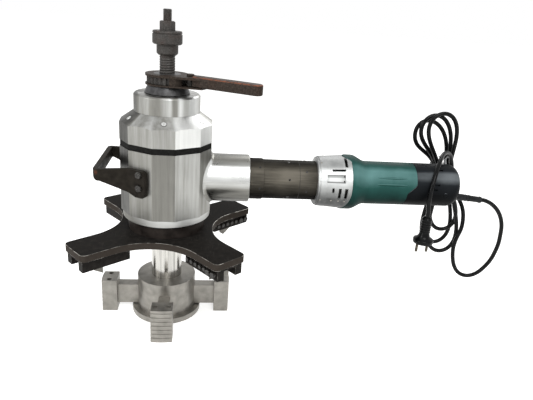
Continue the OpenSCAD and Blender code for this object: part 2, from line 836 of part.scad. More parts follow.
// Rocker switch in a pocket low on the far side of the rear housing
module switch_room() {
  shell_cut(switch_angle, switch_at, switch_l, switch_w, barrel_r - switch_deep, barrel_r + 5);
}

module switch_button() {
  color("#1d1f21") shell_cut(switch_angle, switch_at + pass_gap, switch_l - 8, switch_w - 2 * pass_gap,
    barrel_r - switch_deep + eps, barrel_r + 2);
}

module stator() {
  color("#7a6f66") along_motor(core_x) ring(barrel_r - shell_t - seat_fit, stator_bore, core_l);
}

module armature() {
  start = coupling_x + coupling_l + pass_gap;
  color("#a5764a") along_motor(start) union() {
    cylinder(r = armature_shaft_r, h = rear_web_x + rear_web_t - start);
    translate([0, 0, fan_x - start]) {
      cylinder(r = armature_shaft_r + 8, h = 12);
      cylinder(r = fan_r, h = 2);
      around(10) translate([armature_shaft_r, -0.75, 1]) cube([fan_r - armature_shaft_r - 2, 1.5, 10]);
    }
    translate([0, 0, core_x - start]) cylinder(r = core_r, h = core_l);
    translate([0, 0, core_x + core_l - start + 8]) cylinder(r = 14, h = 20);
  }
}

// Cord
module cord_sleeve() {
  color("#222426") translate(sleeve_at) rotate([0, 90 + sleeve_droop, 0])
    cylinder(r = sleeve_r, h = sleeve_l + 6);
}

module cord_lead() {
  color("#1f2022") tube(spline(lead_points, 2), cord_r, 8, [0, 1, 0]);
}

module cord_hank() {
  color("#1f2022") tube(hank_points, cord_r, hank_sides, [0, 1, 0]);
}

module cord_tail() {
  color("#1f2022") tube(spline(tail_points, 2), cord_r, 8, [1, 0, 0.3]);
}

// Twist tie round the hank's waist
module cord_tie() {
  wide = waist_half + cord_r + 4.2;
  deep = (hank_loops + 1) * hank_pitch + 0.8;
  color("#8b8d8f") translate(waist + [-3.1, hank_loops * hank_pitch / 2, 5]) difference() {
    translate([-wide, -deep / 2, 0]) cube([2 * wide, deep, 6]);
    translate([-wide + 1, -deep / 2 + 1, -1]) cube([2 * wide - 2, deep - 2, 8]);
  }
}

module at_plug() {
  translate(tail_end) rotate([180, 0, 0]) children();
}

module plug_body() {
  color("#33363a") at_plug() union() {
    cylinder(r = plug_grip_r - 1, h = plug_grip_l);
    for (k = [0 : 4]) translate([0, 0, 1 + k * plug_grip_l / 5]) cylinder(r = plug_grip_r, h = 3);
    translate([0, 0, plug_grip_l]) rotate_extrude() polygon([[0, 0], [plug_grip_r, 0], [13, 10],
      [plug_face_r - 3, plug_body_l - 6], [plug_face_r, plug_body_l - 4], [plug_face_r, plug_body_l],
      [0, plug_body_l]]);
  }
}

module plug_pins() {
  color("#c9c5ba") at_plug() for (s = [-1, 1])
    translate([s * plug_pin_gap / 2, 0, plug_grip_l + plug_body_l]) union() {
      cylinder(r = plug_pin_r, h = plug_pin_l - plug_pin_r);
      translate([0, 0, plug_pin_l - plug_pin_r]) sphere(r = plug_pin_r);
    }
}

// Ratchet feed
module feed_nut() {
  color("#55565a") rotate_extrude() polygon([[thread_r + run_fit, nut_low], [nut_flange_r, nut_low],
    [nut_flange_r, nut_low + nut_flange_t], [nut_journal_r, nut_low + nut_flange_t],
    [nut_journal_r, cap_top + run_fit], [washer_r, cap_top + run_fit], [washer_r, skirt_low],
    [skirt_r, skirt_low], [skirt_top_r, skirt_top], [seat_r, skirt_top], [seat_r, ratchet_top],
    [thread_r + run_fit, ratchet_top]]);
}

module ratchet_wheel() {
  color("#5d5a57") translate([0, 0, wheel_low]) difference() {
    linear_extrude(wheel_h) polygon([for (k = [0 : wheel_teeth - 1]) for (s = [0, 1])
      (s == 0 ? wheel_r : wheel_r - tooth_depth)
      * [cos(360 / wheel_teeth * (k + 0.25 * s)), sin(360 / wheel_teeth * (k + 0.25 * s))]]);
    translate([0, 0, -1]) cylinder(r = seat_r + seat_fit, h = wheel_h + 2);
  }
}

module ratchet_plate_at(z, thick) {
  translate([0, 0, z]) difference() {
    union() {
      cylinder(r = ratchet_r, h = thick);
      linear_extrude(thick) polygon([[0, -ratchet_r * neck_wide],
        [ratchet_r * 0.5, -ratchet_r * neck_wide],
        [neck_end, -lever_w / 2], [neck_end, lever_w / 2],
        [ratchet_r * 0.5, ratchet_r * neck_wide], [0, ratchet_r * neck_wide]]);
    }
    translate([0, 0, -1]) cylinder(r = seat_r + run_fit, h = thick + 2);
  }
}

// Curved walls that join the two plates on both sides of the pawl
module ratchet_walls() {
  for (s = [-1, 1]) rotate(s * 36 - 16) translate([0, 0, ratchet_low]) rotate_extrude(angle = 32)
    translate([wheel_r + 0.8, 0]) square([ratchet_wall, ratchet_top - ratchet_low]);
}

module ratchet_lever() {
  color("#3e342f") rotate(lever_angle) difference() {
    union() {
      ratchet_plate_at(ratchet_low, lower_plate);
      ratchet_plate_at(upper_plate, ratchet_plate);
      ratchet_walls();
      translate([lever_root, -lever_w / 2, lever_low])
        cube([lever_len - lever_w / 2 - lever_root, lever_w, lever_h]);
      translate([lever_len - lever_w / 2, 0, lever_low]) cylinder(r = lever_w / 2, h = lever_h);
    }
    translate([pawl_at, 0, ratchet_low - 1]) cylinder(r = pawl_pin_r + seat_fit, h = 40);
  }
}

module pawl_pin() {
  color("#6b5547") rotate(lever_angle) translate([pawl_at, 0, ratchet_low]) union() {
    cylinder(r = pawl_pin_r, h = ratchet_top - ratchet_low + 1);
    translate([0, 0, ratchet_top - ratchet_low]) cylinder(r = 6, h = 4);
  }
}

module ratchet_pawl() {
  color("#6a6763") rotate(lever_angle) translate([0, 0, wheel_low]) difference() {
    union() {
      translate([pawl_at, 0, 0]) cylinder(r = 6, h = wheel_h);
      linear_extrude(wheel_h) polygon([[pawl_at, -5], [wheel_r + 1.2, 3], [wheel_r + 1, 7], [pawl_at, 6]]);
    }
    translate([pawl_at, 0, -1]) cylinder(r = pawl_pin_r + run_fit, h = wheel_h + 2);
  }
}

// Cutter
module spindle() {
  color("#3a3333") difference() {
    union() {
      translate([0, 0, plate_top]) cylinder(r = flange_r, h = flange_h - pass_gap);
      translate([0, 0, plate_top]) cylinder(r = spindle_r, h = spindle_top - plate_top);
    }
    translate([0, 0, plate_top - 1]) cylinder(r = spindle_bore, h = spindle_top);
    spindle_bolt_places() cylinder(r = spindle_bolt_r + seat_fit, h = plate_t + 14);
  }
}

module crown_gear() {
  color("#8f9296") difference() {
    translate([0, 0, crown_top - crown_h]) ring(crown_r, spindle_r + seat_fit, crown_h);
    around(crown_teeth) translate([spindle_r, -1.6, crown_top - crown_tooth])
      cube([crown_r, 3.2, crown_tooth + 1]);
  }
}

// Outline of the cutter plate: four arms, and round hollows between them
module cutter_outline() {
  hollow_at = arm_w / 2 + hollow_r;
  difference() {
    union() {
      square(2 * hollow_at, center = true);
      for (turn = [0, 90]) rotate(turn) arm_bar();
    }
    for (x = [-1, 1]) for (y = [-1, 1])
      translate([x * hollow_at, y * hollow_at]) circle(r = hollow_r, $fn = 128);
  }
}

module arm_bar() {
  square([2 * (arm_reach - tip_round), arm_w], center = true);
  square([2 * arm_reach, arm_w - 2 * tip_round], center = true);
  for (x = [-1, 1]) for (y = [-1, 1])
    translate([x * (arm_reach - tip_round), y * (arm_w / 2 - tip_round)]) circle(r = tip_round);
}

module cutter_plate() {
  color("#2b2a28") difference() {
    translate([0, 0, plate_low]) rotate(arm_angle) linear_extrude(plate_t) cutter_outline();
    translate([0, 0, plate_low - 1]) cylinder(r = spindle_bore, h = plate_t + 2);
    spindle_bolt_places() cylinder(r = spindle_bolt_r + seat_fit, h = plate_t + 1);
  }
}

module spindle_bolt_places() {
  rotate(arm_angle) around(spindle_bolts) translate([spindle_bolt_ring, 0, plate_low]) children();
}

module plate_bolts() {
  color("#4d4a47") spindle_bolt_places() difference() {
    union() {
      translate([0, 0, -7]) cylinder(r = 7, h = 7);
      cylinder(r = spindle_bolt_r, h = plate_t + 13);
    }
    translate([0, 0, -8]) cylinder(r = 3.5, h = 4, $fn = 6);
  }
}

module at_arm(number) {
  rotate(arm_angle + 90 * (number - 1)) children();
}

// Heads in a row along the clockwise side of a rail, the two outer ones larger
module rail_screw_places(first, count, every) {
  for (number = [1 : 4]) at_arm(number) for (k = [0 : count - 1])
    translate([first + k * every, -rail_w / 2, plate_low - rail_h / 2]) rotate([90, 0, 0]) children();
}

module tool_rails() {
  color("#34322f") difference() {
    for (number = [1 : 4]) at_arm(number) difference() {
      translate([rail_from, -rail_w / 2, rail_low]) cube([rail_to - rail_from, rail_w, rail_h]);
      translate([rail_from - 1, -block_w / 2 - run_fit, rail_low - 1])
        cube([rail_to, block_w + 2 * run_fit, slot_roof + run_fit - rail_low + 1]);
    }
    rail_screw_places(small_screw_at, small_screws, screw_every)
      cylinder(r = 2 + seat_fit, h = 2 * rail_screw_in + 2, center = true);
    rail_screw_places(large_screw_at, large_screws, large_screw_every)
      cylinder(r = 2.5 + seat_fit, h = 2 * rail_screw_in + 2, center = true);
  }
}

module rail_screws() {
  color("#8f8a82") {
    rail_screw_places(small_screw_at, small_screws, screw_every) union() {
      cylinder(r = 3.5, h = 4);
      translate([0, 0, -rail_screw_in]) cylinder(r = 2, h = rail_screw_in + 1);
    }
    rail_screw_places(large_screw_at, large_screws, large_screw_every) union() {
      cylinder(r = 5, h = 6);
      translate([0, 0, -rail_screw_in]) cylinder(r = 2.5, h = rail_screw_in + 1);
    }
  }
}

// A tool: block in the rail's slot, and a bit with a slanted edge below it
module tool(number) {
  block_l = 40;
  bit_w = 12;
  bit_low = rail_low - 22;
  color("#b9b6ae") at_arm(number) union() {
    translate([tool_r - block_l / 2, -block_w / 2, rail_low - 6])
      cube([block_l, block_w, slot_roof - rail_low + 6]);
    translate([tool_r, bit_w / 2, 0]) rotate([90, 0, 0]) linear_extrude(bit_w)
      polygon([[-8, rail_low - 5], [8, rail_low - 5], [8, bit_low + 10], [-8, bit_low]]);
  }
}

mandrel();
expander_head();
foot_plate();
lock_hub();
thrust_collar();
draw_rod();
expander_wedge();
clamp_nut();
jaw(1);  // jaw_1
jaw(2);  // jaw_2
jaw(3);  // jaw_3
jaw(4);  // jaw_4
main_housing();
lower_ring();
seam_ring();
upper_housing();
cone_screws();
top_cap();
guide_bush();
guide_key();
lower_bearing();
upper_bearing();
drive_boss();
pinion_bearing();
carry_handle();
handle_bolts();
tube_collar();
gearbox_tube();
tube_screws();
reduction_unit();
motor_flange();
vent_housing();
motor_housing();
rear_housing();
stator();
switch_button();
cord_sleeve();
cord_lead();
cord_hank();
cord_tail();
cord_tie();
plug_body();
plug_pins();
feed_nut();
ratchet_wheel();
ratchet_lever();
pawl_pin();
ratchet_pawl();
spindle();
crown_gear();
cutter_plate();
plate_bolts();
tool_rails();
rail_screws();
tool(1);  // tool_1
tool(2);  // tool_2
tool(3);  // tool_3
tool(4);  // tool_4
pinion_shaft();
armature();
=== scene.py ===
"""Pipe beveling machine: its looks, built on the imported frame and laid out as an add-on."""

import json
from math import atan2, copysign, cos, degrees, hypot, pi, radians, sin, sqrt, tau

import bmesh
import bpy
from bpy.props import FloatProperty, FloatVectorProperty, PointerProperty
from mathutils import Matrix, Vector


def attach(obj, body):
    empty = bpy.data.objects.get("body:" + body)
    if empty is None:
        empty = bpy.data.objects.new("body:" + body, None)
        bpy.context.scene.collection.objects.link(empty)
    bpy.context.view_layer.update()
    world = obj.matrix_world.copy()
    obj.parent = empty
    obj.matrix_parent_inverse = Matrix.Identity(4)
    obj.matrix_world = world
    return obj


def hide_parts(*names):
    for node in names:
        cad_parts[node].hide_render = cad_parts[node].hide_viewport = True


bl_info = {
    "name": "Pipe beveling machine",
    "version": (1, 0, 0),
    "blender": (4, 5, 0),
    "location": "View3D > Sidebar > Beveling",
    "description": "Dresses the packed frame of a pipe beveling machine",
    "category": "Object",
}

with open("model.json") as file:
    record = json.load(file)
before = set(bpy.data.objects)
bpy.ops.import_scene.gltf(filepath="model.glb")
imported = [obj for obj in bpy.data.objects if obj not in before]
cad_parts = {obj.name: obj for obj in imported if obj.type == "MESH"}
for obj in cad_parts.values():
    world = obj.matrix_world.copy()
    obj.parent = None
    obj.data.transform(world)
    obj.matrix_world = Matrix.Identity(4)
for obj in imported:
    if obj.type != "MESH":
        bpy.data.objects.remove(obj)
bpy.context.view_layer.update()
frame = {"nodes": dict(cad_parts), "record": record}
BODY_OF = {n: body for body, nodes in frame["record"]["behaviour"]["bodies"].items() for n in nodes}

# Pieces are shaped in millimetres, on the frame's own places, and scaled to metres when they are done
MM = 0.001
SHARP = radians(34)
MOTOR_Z = 261.0
BODY_R = 78.0
FLAT_HALF = radians(16.5)
BOSS_R, BOSS_END = 41.5, 141.0
TUBE_R = 34.5
VENT_X, VENT_FRONT_R = 261.0, 44.0
GREEN_X, WIDE_R = 316.0, 48.5
BARREL_X, BARREL_R = 343.0, 38.5
REAR_END, REAR_ROUND = 521.0, 18.0
# Joints between lengths of the tube, its set screws, and the small screws of the vents as place and angle
TUBE_JOINTS, SET_SCREW_X, SET_SCREW_ANGLES = (227.0, 165.2), 158.0, (-10, 50, 110, 170, 230, 290)
VENT_SCREWS = ((264.0, -30), (283.0, -29), (295.5, -28.5), (306.0, -28), (264.0, 62), (310.0, 88))
PAD_HOLES = ((301.5, 28), (301.5, 18))
FAN_X0, FAN_X1, SHROUD_R = 276.0, 312.0, 38.2
RIM_X0, RIM_X1 = 262.0, 273.6
PAD_ANGLES, PAD_ENDS = (14.5, 32), (272.0, 304.0)
# Where the green shell's straight stretch starts and ends, how far its tongue reaches, and its grip ridges
GREEN_STRAIGHT, GREEN_END, GREEN_TONGUE = 352.0, 420.0, 15.5
RIDGE_X, RIDGE_ANGLES = 390.0, (31, 13, 149, 167)
REAR_BOSS_X, REAR_BOSS_ANGLES = 489.5, (-9, 189)
# Air slots and the switch's pocket in the rear shell, as start, end and angle
AIR_SLOTS = ((474, 486, 60), (463, 477, 16.5), (463, 473.5, 4))
SWITCH_POCKET = (477.5, 499.5, 215)
# How far out the handle's grip stands, and where its straight stretch ends
GRIP_X, GRIP_HALF = 110.0, 56.0
# Where the lever's bar leaves the ratchet head, and the height of the bar's middle
BAR_START, BAR_MID = 74.0, 428.0
# A rust spot on the handle's grip, in metres
RUST_SPOT = (-0.1055, -0.072, 0.285)
# Shoulder and core of the mandrel's thread, and the cut end of the rod
SHOULDER_Z, FEED_LOW, FEED_TOP, FEED_CORE_R = 348.5, 347.0, 471.5, 11.75
ROD_LOW, ROD_TOP, ROD_CORE_R = 499.0, 531.0, 6.22


def colour(code):
    """Turns an sRGB hex code into linear red, green, blue and alpha."""
    parts = [int(code[i:i + 2], 16) / 255 for i in (1, 3, 5)]
    return tuple(c / 12.92 if c <= 0.04045 else ((c + 0.055) / 1.055) ** 2.4 for c in parts) + (1.0,)


def tint(label, description, code):
    """A colour that a user may change."""
    return FloatVectorProperty(name=label, description=description, subtype="COLOR", size=4,
                               min=0.0, max=1.0, default=colour(code))


def length(label, description, millimetres):
    """A size that a user may change."""
    return FloatProperty(name=label, description=description, unit="LENGTH", subtype="DISTANCE",
                         min=0.0, default=millimetres * MM, precision=5)


class BevelingSizes(bpy.types.PropertyGroup):
    """Sizes of the details that the solids leave out."""

    machined_edge: length("Machined edge", "Rounding of turned and milled edges", 0.7)
    plate_edge: length("Plate edge", "Rounding of the cutter plate's edges", 1.4)
    forged_edge: length("Forged edge", "Rounding of the ratchet lever's bar", 3.2)
    handle_corner: length("Handle corner", "Rounding of the carry handle's corners", 9.0)
    boss_fillet: length("Boss fillet", "Fillet between the housing and the drive boss", 5.5)
    rod_pitch: length("Rod pitch", "Pitch of the draw rod's thread", 1.75)
    feed_pitch: length("Feed pitch", "Pitch of the mandrel's feed thread", 4.0)
    cord_diameter: length("Cord diameter", "Outside diameter of the power cord", 8.0)


class BevelingColours(bpy.types.PropertyGroup):
    """Main colours of the finishes."""

    aluminium: tint("Aluminium", "Bright tone of the machined housing", "#e3e4e2")
    # The dark end of the housing's painted reflections and painted shade
    aluminium_painted_shade: tint("Aluminium bands", "Dark bands on the machined housing", "#83827d")
    casting: tint("Casting", "Die-cast vent housing", "#dcdedd")
    seam: tint("Seam", "Dark ring between the housings", "#1f1f1e")
    blackened: tint("Blackened steel", "Oiled black steel at the top", "#474543")
    forged: tint("Forged steel", "Ratchet lever", "#3b342f")
    rust: tint("Rust", "Rust on worn edges", "#7a4a36")
    oxide: tint("Black oxide", "Cutter plate and rails", "#242220")
    bare: tint("Bare steel", "Steel where black oxide is worn through", "#b4b1aa")
    flange: tint("Brown steel", "Spindle flange", "#312c29")
    paint: tint("Handle paint", "Black paint of the carry handle", "#26231f")
    tube: tint("Gunmetal", "Gearbox tube and its collar", "#5c5850")
    steel: tint("Steel", "Screws and small steel parts", "#8f8c86")
    chrome: tint("Ground steel", "Mandrel column", "#cfcdc8")
    green: tint("Green shell", "Moulded motor housing", "#284f4a")
    black: tint("Black shell", "Moulded rear housing", "#232629")
    rubber: tint("Rubber", "Power cord, its sleeve and plug", "#161718")


# Finishes


def fill(tree, socket, value):
    """Links a socket, or sets its value."""
    if isinstance(value, bpy.types.NodeSocket):
        tree.links.new(value, socket)
    else:
        socket.default_value = value


def add(tree, kind, options=None, **inputs):
    """Adds a node; an underscore in an input's name stands for a space."""
    node = tree.nodes.new(kind)
    for name, value in (options or {}).items():
        setattr(node, name, value)
    for name, value in inputs.items():
        fill(tree, node.inputs[name.replace("_", " ")], value)
    return node


def grain(tree, size, stretch=(1.0, 1.0, 1.0), detail=3.0, shift=0.0):
    """Noise over the piece whose marks are about so many millimetres, drawn out along an axis."""
    place = add(tree, "ShaderNodeTexCoord").outputs["Object"]
    place = add(tree, "ShaderNodeMapping", Vector=place, Scale=stretch, Location=(shift,) * 3).outputs[0]
    return add(tree, "ShaderNodeTexNoise", Vector=place, Scale=1 / (size * MM), Detail=detail).outputs[0]


def spread(tree, factor, low, high, start=0.35, end=0.65):
    """Carries a noise over to a range of values."""
    return add(tree, "ShaderNodeMapRange", Value=factor, From_Min=start, From_Max=end,
               To_Min=low, To_Max=high).outputs[0]


def sums(tree, first, second, operation="ADD"):
    """Adds, multiplies or compares two values."""
    node = add(tree, "ShaderNodeMath", {"operation": operation})
    fill(tree, node.inputs[0], first)
    fill(tree, node.inputs[1], second)
    return node.outputs[0]


def tones(tree, factor, *stops):
    """A colour that runs through the stops, each a place and a colour."""
    node = add(tree, "ShaderNodeValToRGB", Fac=factor)
    while len(node.color_ramp.elements) < len(stops):
        node.color_ramp.elements.new(0.5)
    for element, (place, tone) in zip(node.color_ramp.elements, stops):
        element.position = place
        element.color = tone
    return node.outputs["Color"]


def over(tree, factor, below, above):
    """Lays one colour over another where the factor is high."""
    node = add(tree, "ShaderNodeMix", {"data_type": "RGBA"})
    for socket, value in zip((node.inputs[0], node.inputs[6], node.inputs[7]), (factor, below, above)):
        fill(tree, socket, value)
    return node.outputs[2]


def relief(tree, height, depth, strength):
    """Bumps of a depth in millimetres."""
    return add(tree, "ShaderNodeBump", Strength=strength, Distance=depth * MM, Height=height).outputs[0]


def shaded(tone, share):
    """A darker or lighter tone of a colour."""
    return tuple(min(1.0, c * share) for c in tone[:3]) + (1.0,)


def shades(tree, factor, tone, *stops):
    """Darker and lighter shares of one colour along a noise."""
    return tones(tree, factor, *[(place, shaded(tone, share)) for place, share in stops])


def varied(tree, tone, noise, reach):
    """A tone that a noise takes up and down by a reach."""
    return sums(tree, tone, spread(tree, noise, -reach, reach, 0.3, 0.7))


def surface(tree, skin, rough, metal=0.0, shine=0.5, bump=None):
    """Ends a finish; rough is a noise with its low and high, and bump a noise, its depth and its strength."""
    inputs = {"Normal": relief(tree, *bump)} if bump else {}
    shader = add(tree, "ShaderNodeBsdfPrincipled", Base_Color=skin, Metallic=metal, Specular_IOR_Level=shine,
                 Roughness=spread(tree, *rough), **inputs)
    add(tree, "ShaderNodeOutputMaterial", Surface=shader.outputs[0])


def painted_light_by_facing(tree, across, stops):
    """Painted reflection and shade: a tone by the way a face looks, given as degrees about an axis and
    shares; 0 degrees looks to -Y.
    """
    normal = add(tree, "ShaderNodeSeparateXYZ", Vector=add(tree, "ShaderNodeNewGeometry").outputs["Normal"])
    front = sums(tree, normal.outputs["Y"], -1.0, "MULTIPLY")
    turn = sums(tree, normal.outputs[across], front, "ARCTAN2")
    turn = spread(tree, turn, 0.0, 1.0, -pi, pi)
    return tones(tree, turn, *[(0.5 + angle / 360, (share, share, share, 1.0)) for angle, share in stops])


def painted_light_along_motor(tree, start, end, *shares):
    """Painted light and shade along the motor's axis: shares at even steps between two places in millimetres.
    """
    place = add(tree, "ShaderNodeSeparateXYZ", Vector=add(tree, "ShaderNodeTexCoord").outputs["Object"])
    run = spread(tree, place.outputs["X"], 0.0, 1.0, start * MM, end * MM)
    last = len(shares) - 1
    return tones(tree, run, *[(k / last, (share, share, share, 1.0)) for k, share in enumerate(shares)])


def aluminium_skin(tree, hues, run, tone, smooth=0.26):
    """Satin aluminium, streaks that follow the cut, and a painted reflection: each face a tone of its own."""
    streaks = grain(tree, 7, run, 3.0)
    lines = grain(tree, 1.0, run, 4.0, 3.0)
    haze = grain(tree, 26, detail=4.0)
    tone = varied(tree, varied(tree, tone, streaks, 0.055), lines, 0.03)
    bright, dark = hues.aluminium, hues.aluminium_painted_shade
    # Low tones are painted shade and dark reflections, high tones painted highlights
    skin = tones(tree, tone, (0.0, shaded(dark, 0.18)), (0.4, dark), (0.7, shaded(bright, 0.7)),
                 (1.0, bright))
    surface(tree, skin, (haze, smooth, smooth + 0.1), metal=1.0, bump=(lines, 0.02, 0.25))


def milled_aluminium(tree, hues):
    """Main housing: upright tool lines, and a painted reflection that makes each flat a little brighter or
    greyer than the next.
    """
    tone = painted_light_by_facing(tree, "X", ((-180, 0.4), (-120, 0.45), (-90, 0.1), (-60, 0.02), (-48, 0.1), (-43, 0.5),
                              (-30, 0.41), (-17, 0.58), (-11, 0.32), (0, 0.29), (11, 0.36), (17, 0.8),
                              (30, 0.5), (42, 0.7), (48, 0.45), (60, 0.44), (90, 0.34), (120, 0.5),
                              (150, 0.36), (180, 0.4)))
    aluminium_skin(tree, hues, (1.0, 1.0, 0.03), tone, 0.34)


def bright_aluminium(tree, hues):
    """Upper housing: the same cut, with painted reflections that make the flats to the right whiter."""
    tone = painted_light_by_facing(tree, "X", ((-180, 0.45), (-120, 0.5), (-90, 0.12), (-60, 0.05), (-48, 0.15), (-43, 0.55),
                              (-30, 0.44), (-17, 0.64), (-11, 0.48), (0, 0.48), (11, 0.54), (17, 0.92),
                              (30, 0.88), (42, 0.76), (48, 0.74), (60, 0.76), (90, 0.4), (120, 0.6),
                              (150, 0.45), (180, 0.45)))
    aluminium_skin(tree, hues, (1.0, 1.0, 0.03), tone, 0.4)


def lathe_aluminium(tree, hues):
    """Round cap: turned bright, with painted reflections: light and dark bands side by side by the way each
    part looks.
    """
    tone = painted_light_by_facing(tree, "X", ((-180, 0.45), (-120, 0.5), (-90, 0.1), (-72, 0.05), (-58, 0.16), (-47, 0.5),
                              (-38, 0.44), (-29, 0.48), (-19, 0.32), (-9, 0.38), (1, 0.52), (9, 0.66),
                              (15, 0.36), (21, 0.42), (26, 0.84), (32, 0.58), (41, 0.52), (48, 0.72),
                              (61, 0.7), (80, 0.45), (120, 0.6), (180, 0.45)))
    aluminium_skin(tree, hues, (1.0, 1.0, 0.05), tone, 0.34)


def polished_ring(tree, hues):
    """Lower ring: the same lathe lines, brighter and duller, with painted reflections by the way each part
    looks.
    """
    tone = painted_light_by_facing(tree, "X", ((-180, 0.5), (-90, 0.3), (-60, 0.3), (-30, 0.52), (0, 0.62), (30, 0.66),
                              (60, 0.66), (90, 0.5), (130, 0.6), (180, 0.5)))
    aluminium_skin(tree, hues, (0.05, 0.05, 1.0), tone, 0.5)


def turned_aluminium(tree, hues):
    """Drive boss: tool lines along the motor's axis, a painted highlight white across the upper front and
    painted shade grey below.
    """
    tone = painted_light_by_facing(tree, "Z", ((-180, 0.5), (-120, 0.3), (-95, 0.1), (-75, 0.12), (-40, 0.16), (-15, 0.34),
                              (4, 0.64), (20, 0.88), (36, 0.88), (48, 0.55), (75, 0.28), (100, 0.32),
                              (140, 0.8), (180, 0.5)))
    aluminium_skin(tree, hues, (0.04, 1.0, 1.0), tone)


def cast_aluminium(tree, hues):
    """Vent housing: sandy casting with a slight bloom, painted bright at the front and with painted shade
    grey above and below.
    """
    sand = grain(tree, 0.7, detail=4.0)
    bloom = grain(tree, 18, detail=4.0)
    tone = painted_light_by_facing(tree, "Z", ((-180, 0.6), (-110, 0.02), (-70, 0.02), (-40, 0.03), (-24, 0.1), (-10, 0.26),
                              (2, 0.5), (12, 0.86), (34, 0.88), (52, 0.48), (85, 0.24), (100, 0.3),
                              (140, 0.7), (180, 0.6)))
    tone = varied(tree, tone, bloom, 0.08)
    skin = shades(tree, tone, hues.casting, (0.0, 0.08), (0.5, 0.5), (1.0, 1.0))
    surface(tree, skin, (bloom, 0.36, 0.5), metal=0.6, shine=0.2, bump=(sand, 0.05, 0.45))


def bright_casting(tree, hues):
    """Pads of the vent housing: painted shade grey along both edges and towards the ends, and a painted
    highlight white between, as if hollowed lengthwise.
    """
    sand = grain(tree, 0.5, (0.2, 1.0, 1.0), 4.0)
    front = ((14, 0.4), (16.5, 0.5), (18, 1.0), (24, 0.95), (26, 0.55), (29, 0.42), (32, 0.2))
    tone = painted_light_by_facing(tree, "Z", ((-180, 0.3), *((angle - 180, share) for angle, share in front), (-90, 0.2),
                              (0, 0.3), *front, (90, 0.3), (180, 0.3)))
    tone = sums(tree, tone, painted_light_along_motor(tree, 271, 305, 0.7, 1.0, 1.0, 1.0, 0.95, 0.8, 0.5), "MULTIPLY")
    tone = varied(tree, tone, sand, 0.05)
    skin = shades(tree, tone, hues.casting, (0.0, 0.1), (0.5, 0.4), (1.0, 1.0))
    surface(tree, skin, (sand, 0.4, 0.5), metal=0.3, shine=0.1)


def dull_black(tree, hues):
    """Seam ring: dull black with a dusty break-up."""
    dust = grain(tree, 5, detail=5.0)
    skin = shades(tree, dust, hues.seam, (0.35, 0.7), (0.7, 1.4))
    surface(tree, skin, (dust, 0.5, 0.66), shine=0.02, bump=(dust, 0.05, 0.4))


def oiled_steel(tree, hues):
    """Top parts: oiled black steel with a grainy skin, worn lighter in specks and browned in patches."""
    specks = grain(tree, 1.0, detail=5.0)
    patches = grain(tree, 13, detail=4.0)
    skin = shades(tree, specks, hues.blackened, (0.32, 0.5), (0.52, 1.0), (0.72, 1.9))
    skin = over(tree, spread(tree, patches, 0.0, 0.12, 0.5, 0.7), skin, shaded(hues.rust, 0.5))
    surface(tree, skin, (specks, 0.42, 0.6), metal=0.4, shine=0.06, bump=(specks, 0.1, 0.45))


def smooth_blackened(tree, hues):
    """Skirt of the feed nut: the same steel turned smooth, greyer, with rings from the lathe."""
    rings = grain(tree, 1.6, (0.05, 0.05, 1.0), 3.0)
    cloud = grain(tree, 12, detail=3.0)
    skin = tones(tree, cloud, (0.3, shaded(colour("#3c3b3b"), 0.7)), (0.7, shaded(colour("#4a4a4b"), 1.3)))
    surface(tree, skin, (rings, 0.36, 0.46), metal=0.5, shine=0.1, bump=(rings, 0.03, 0.35))


def forged_steel(tree, hues):
    """Lever: dark scale that has browned, with a hammered unevenness."""
    scale = grain(tree, 2.4, detail=5.0)
    brown = grain(tree, 17, detail=4.0, shift=4.0)
    skin = shades(tree, scale, hues.forged, (0.3, 0.55), (0.55, 1.0), (0.75, 1.7))
    skin = over(tree, spread(tree, brown, 0.0, 0.14, 0.5, 0.75), skin, shaded(hues.rust, 0.45))
    surface(tree, skin, (scale, 0.42, 0.6), metal=0.2, shine=0.05, bump=(scale, 0.18, 0.45))


def rusty_edge(tree, hues):
    """Lever's upper edges: scale rubbed off and turned rust red in stretches."""
    rub = grain(tree, 4, detail=5.0)
    skin = over(tree, spread(tree, rub, 0.2, 1.0, 0.4, 0.6), hues.forged, hues.rust)
    surface(tree, skin, (rub, 0.4, 0.6), metal=0.3, shine=0.2, bump=(rub, 0.1, 0.4))


def oiled_oxide(tree, hues):
    """Cutter plate: black oxide with a faint oily mottle and fine scratches, and a painted reflection on its
    side faces.
    """
    mottle = grain(tree, 9, detail=5.0)
    scratch = grain(tree, 1.4, (1.0, 0.08, 1.0), 4.0)
    skin = shades(tree, mottle, hues.oxide, (0.3, 0.6), (0.55, 1.0), (0.78, 1.8))
    skin = over(tree, spread(tree, scratch, 0.0, 0.14, 0.62, 0.75), skin, shaded(hues.bare, 0.3))
    # Painted reflection: faces that stand upright get a lighter grey-brown
    normal = add(tree, "ShaderNodeSeparateXYZ", Vector=add(tree, "ShaderNodeNewGeometry").outputs["Normal"])
    upright = sums(tree, normal.outputs["Z"], 0.0, "ABSOLUTE")
    skin = over(tree, spread(tree, upright, 0.55, 0.0, 0.1, 0.5), skin, colour("#4b443e"))
    surface(tree, skin, (mottle, 0.4, 0.58), shine=0.015, bump=(scratch, 0.03, 0.35))


def worn_oxide(tree, hues):
    """Cutter plate's edges: oxide rubbed through to bright steel."""
    rub = grain(tree, 11, detail=5.0)
    skin = over(tree, spread(tree, rub, 0.1, 1.0, 0.42, 0.6), shaded(hues.oxide, 1.3), hues.bare)
    surface(tree, skin, (rub, 0.45, 0.3), metal=0.8, shine=0.2)


def black_rail(tree, hues):
    """Tool rails: the same oxide, blacker and oily."""
    mottle = grain(tree, 8, detail=5.0)
    skin = shades(tree, mottle, hues.oxide, (0.3, 0.7), (0.75, 1.5))
    surface(tree, skin, (mottle, 0.34, 0.5), shine=0.03)


def browned_steel(tree, hues):
    """Spindle flange: oiled steel gone brown, with faint rings."""
    rings = grain(tree, 1.5, (0.05, 0.05, 1.0), 3.0)
    cloud = grain(tree, 15, detail=4.0)
    skin = shades(tree, cloud, hues.flange, (0.3, 0.5), (0.7, 1.3))
    surface(tree, skin, (cloud, 0.4, 0.55), metal=0.2, shine=0.04, bump=(rings, 0.05, 0.4))


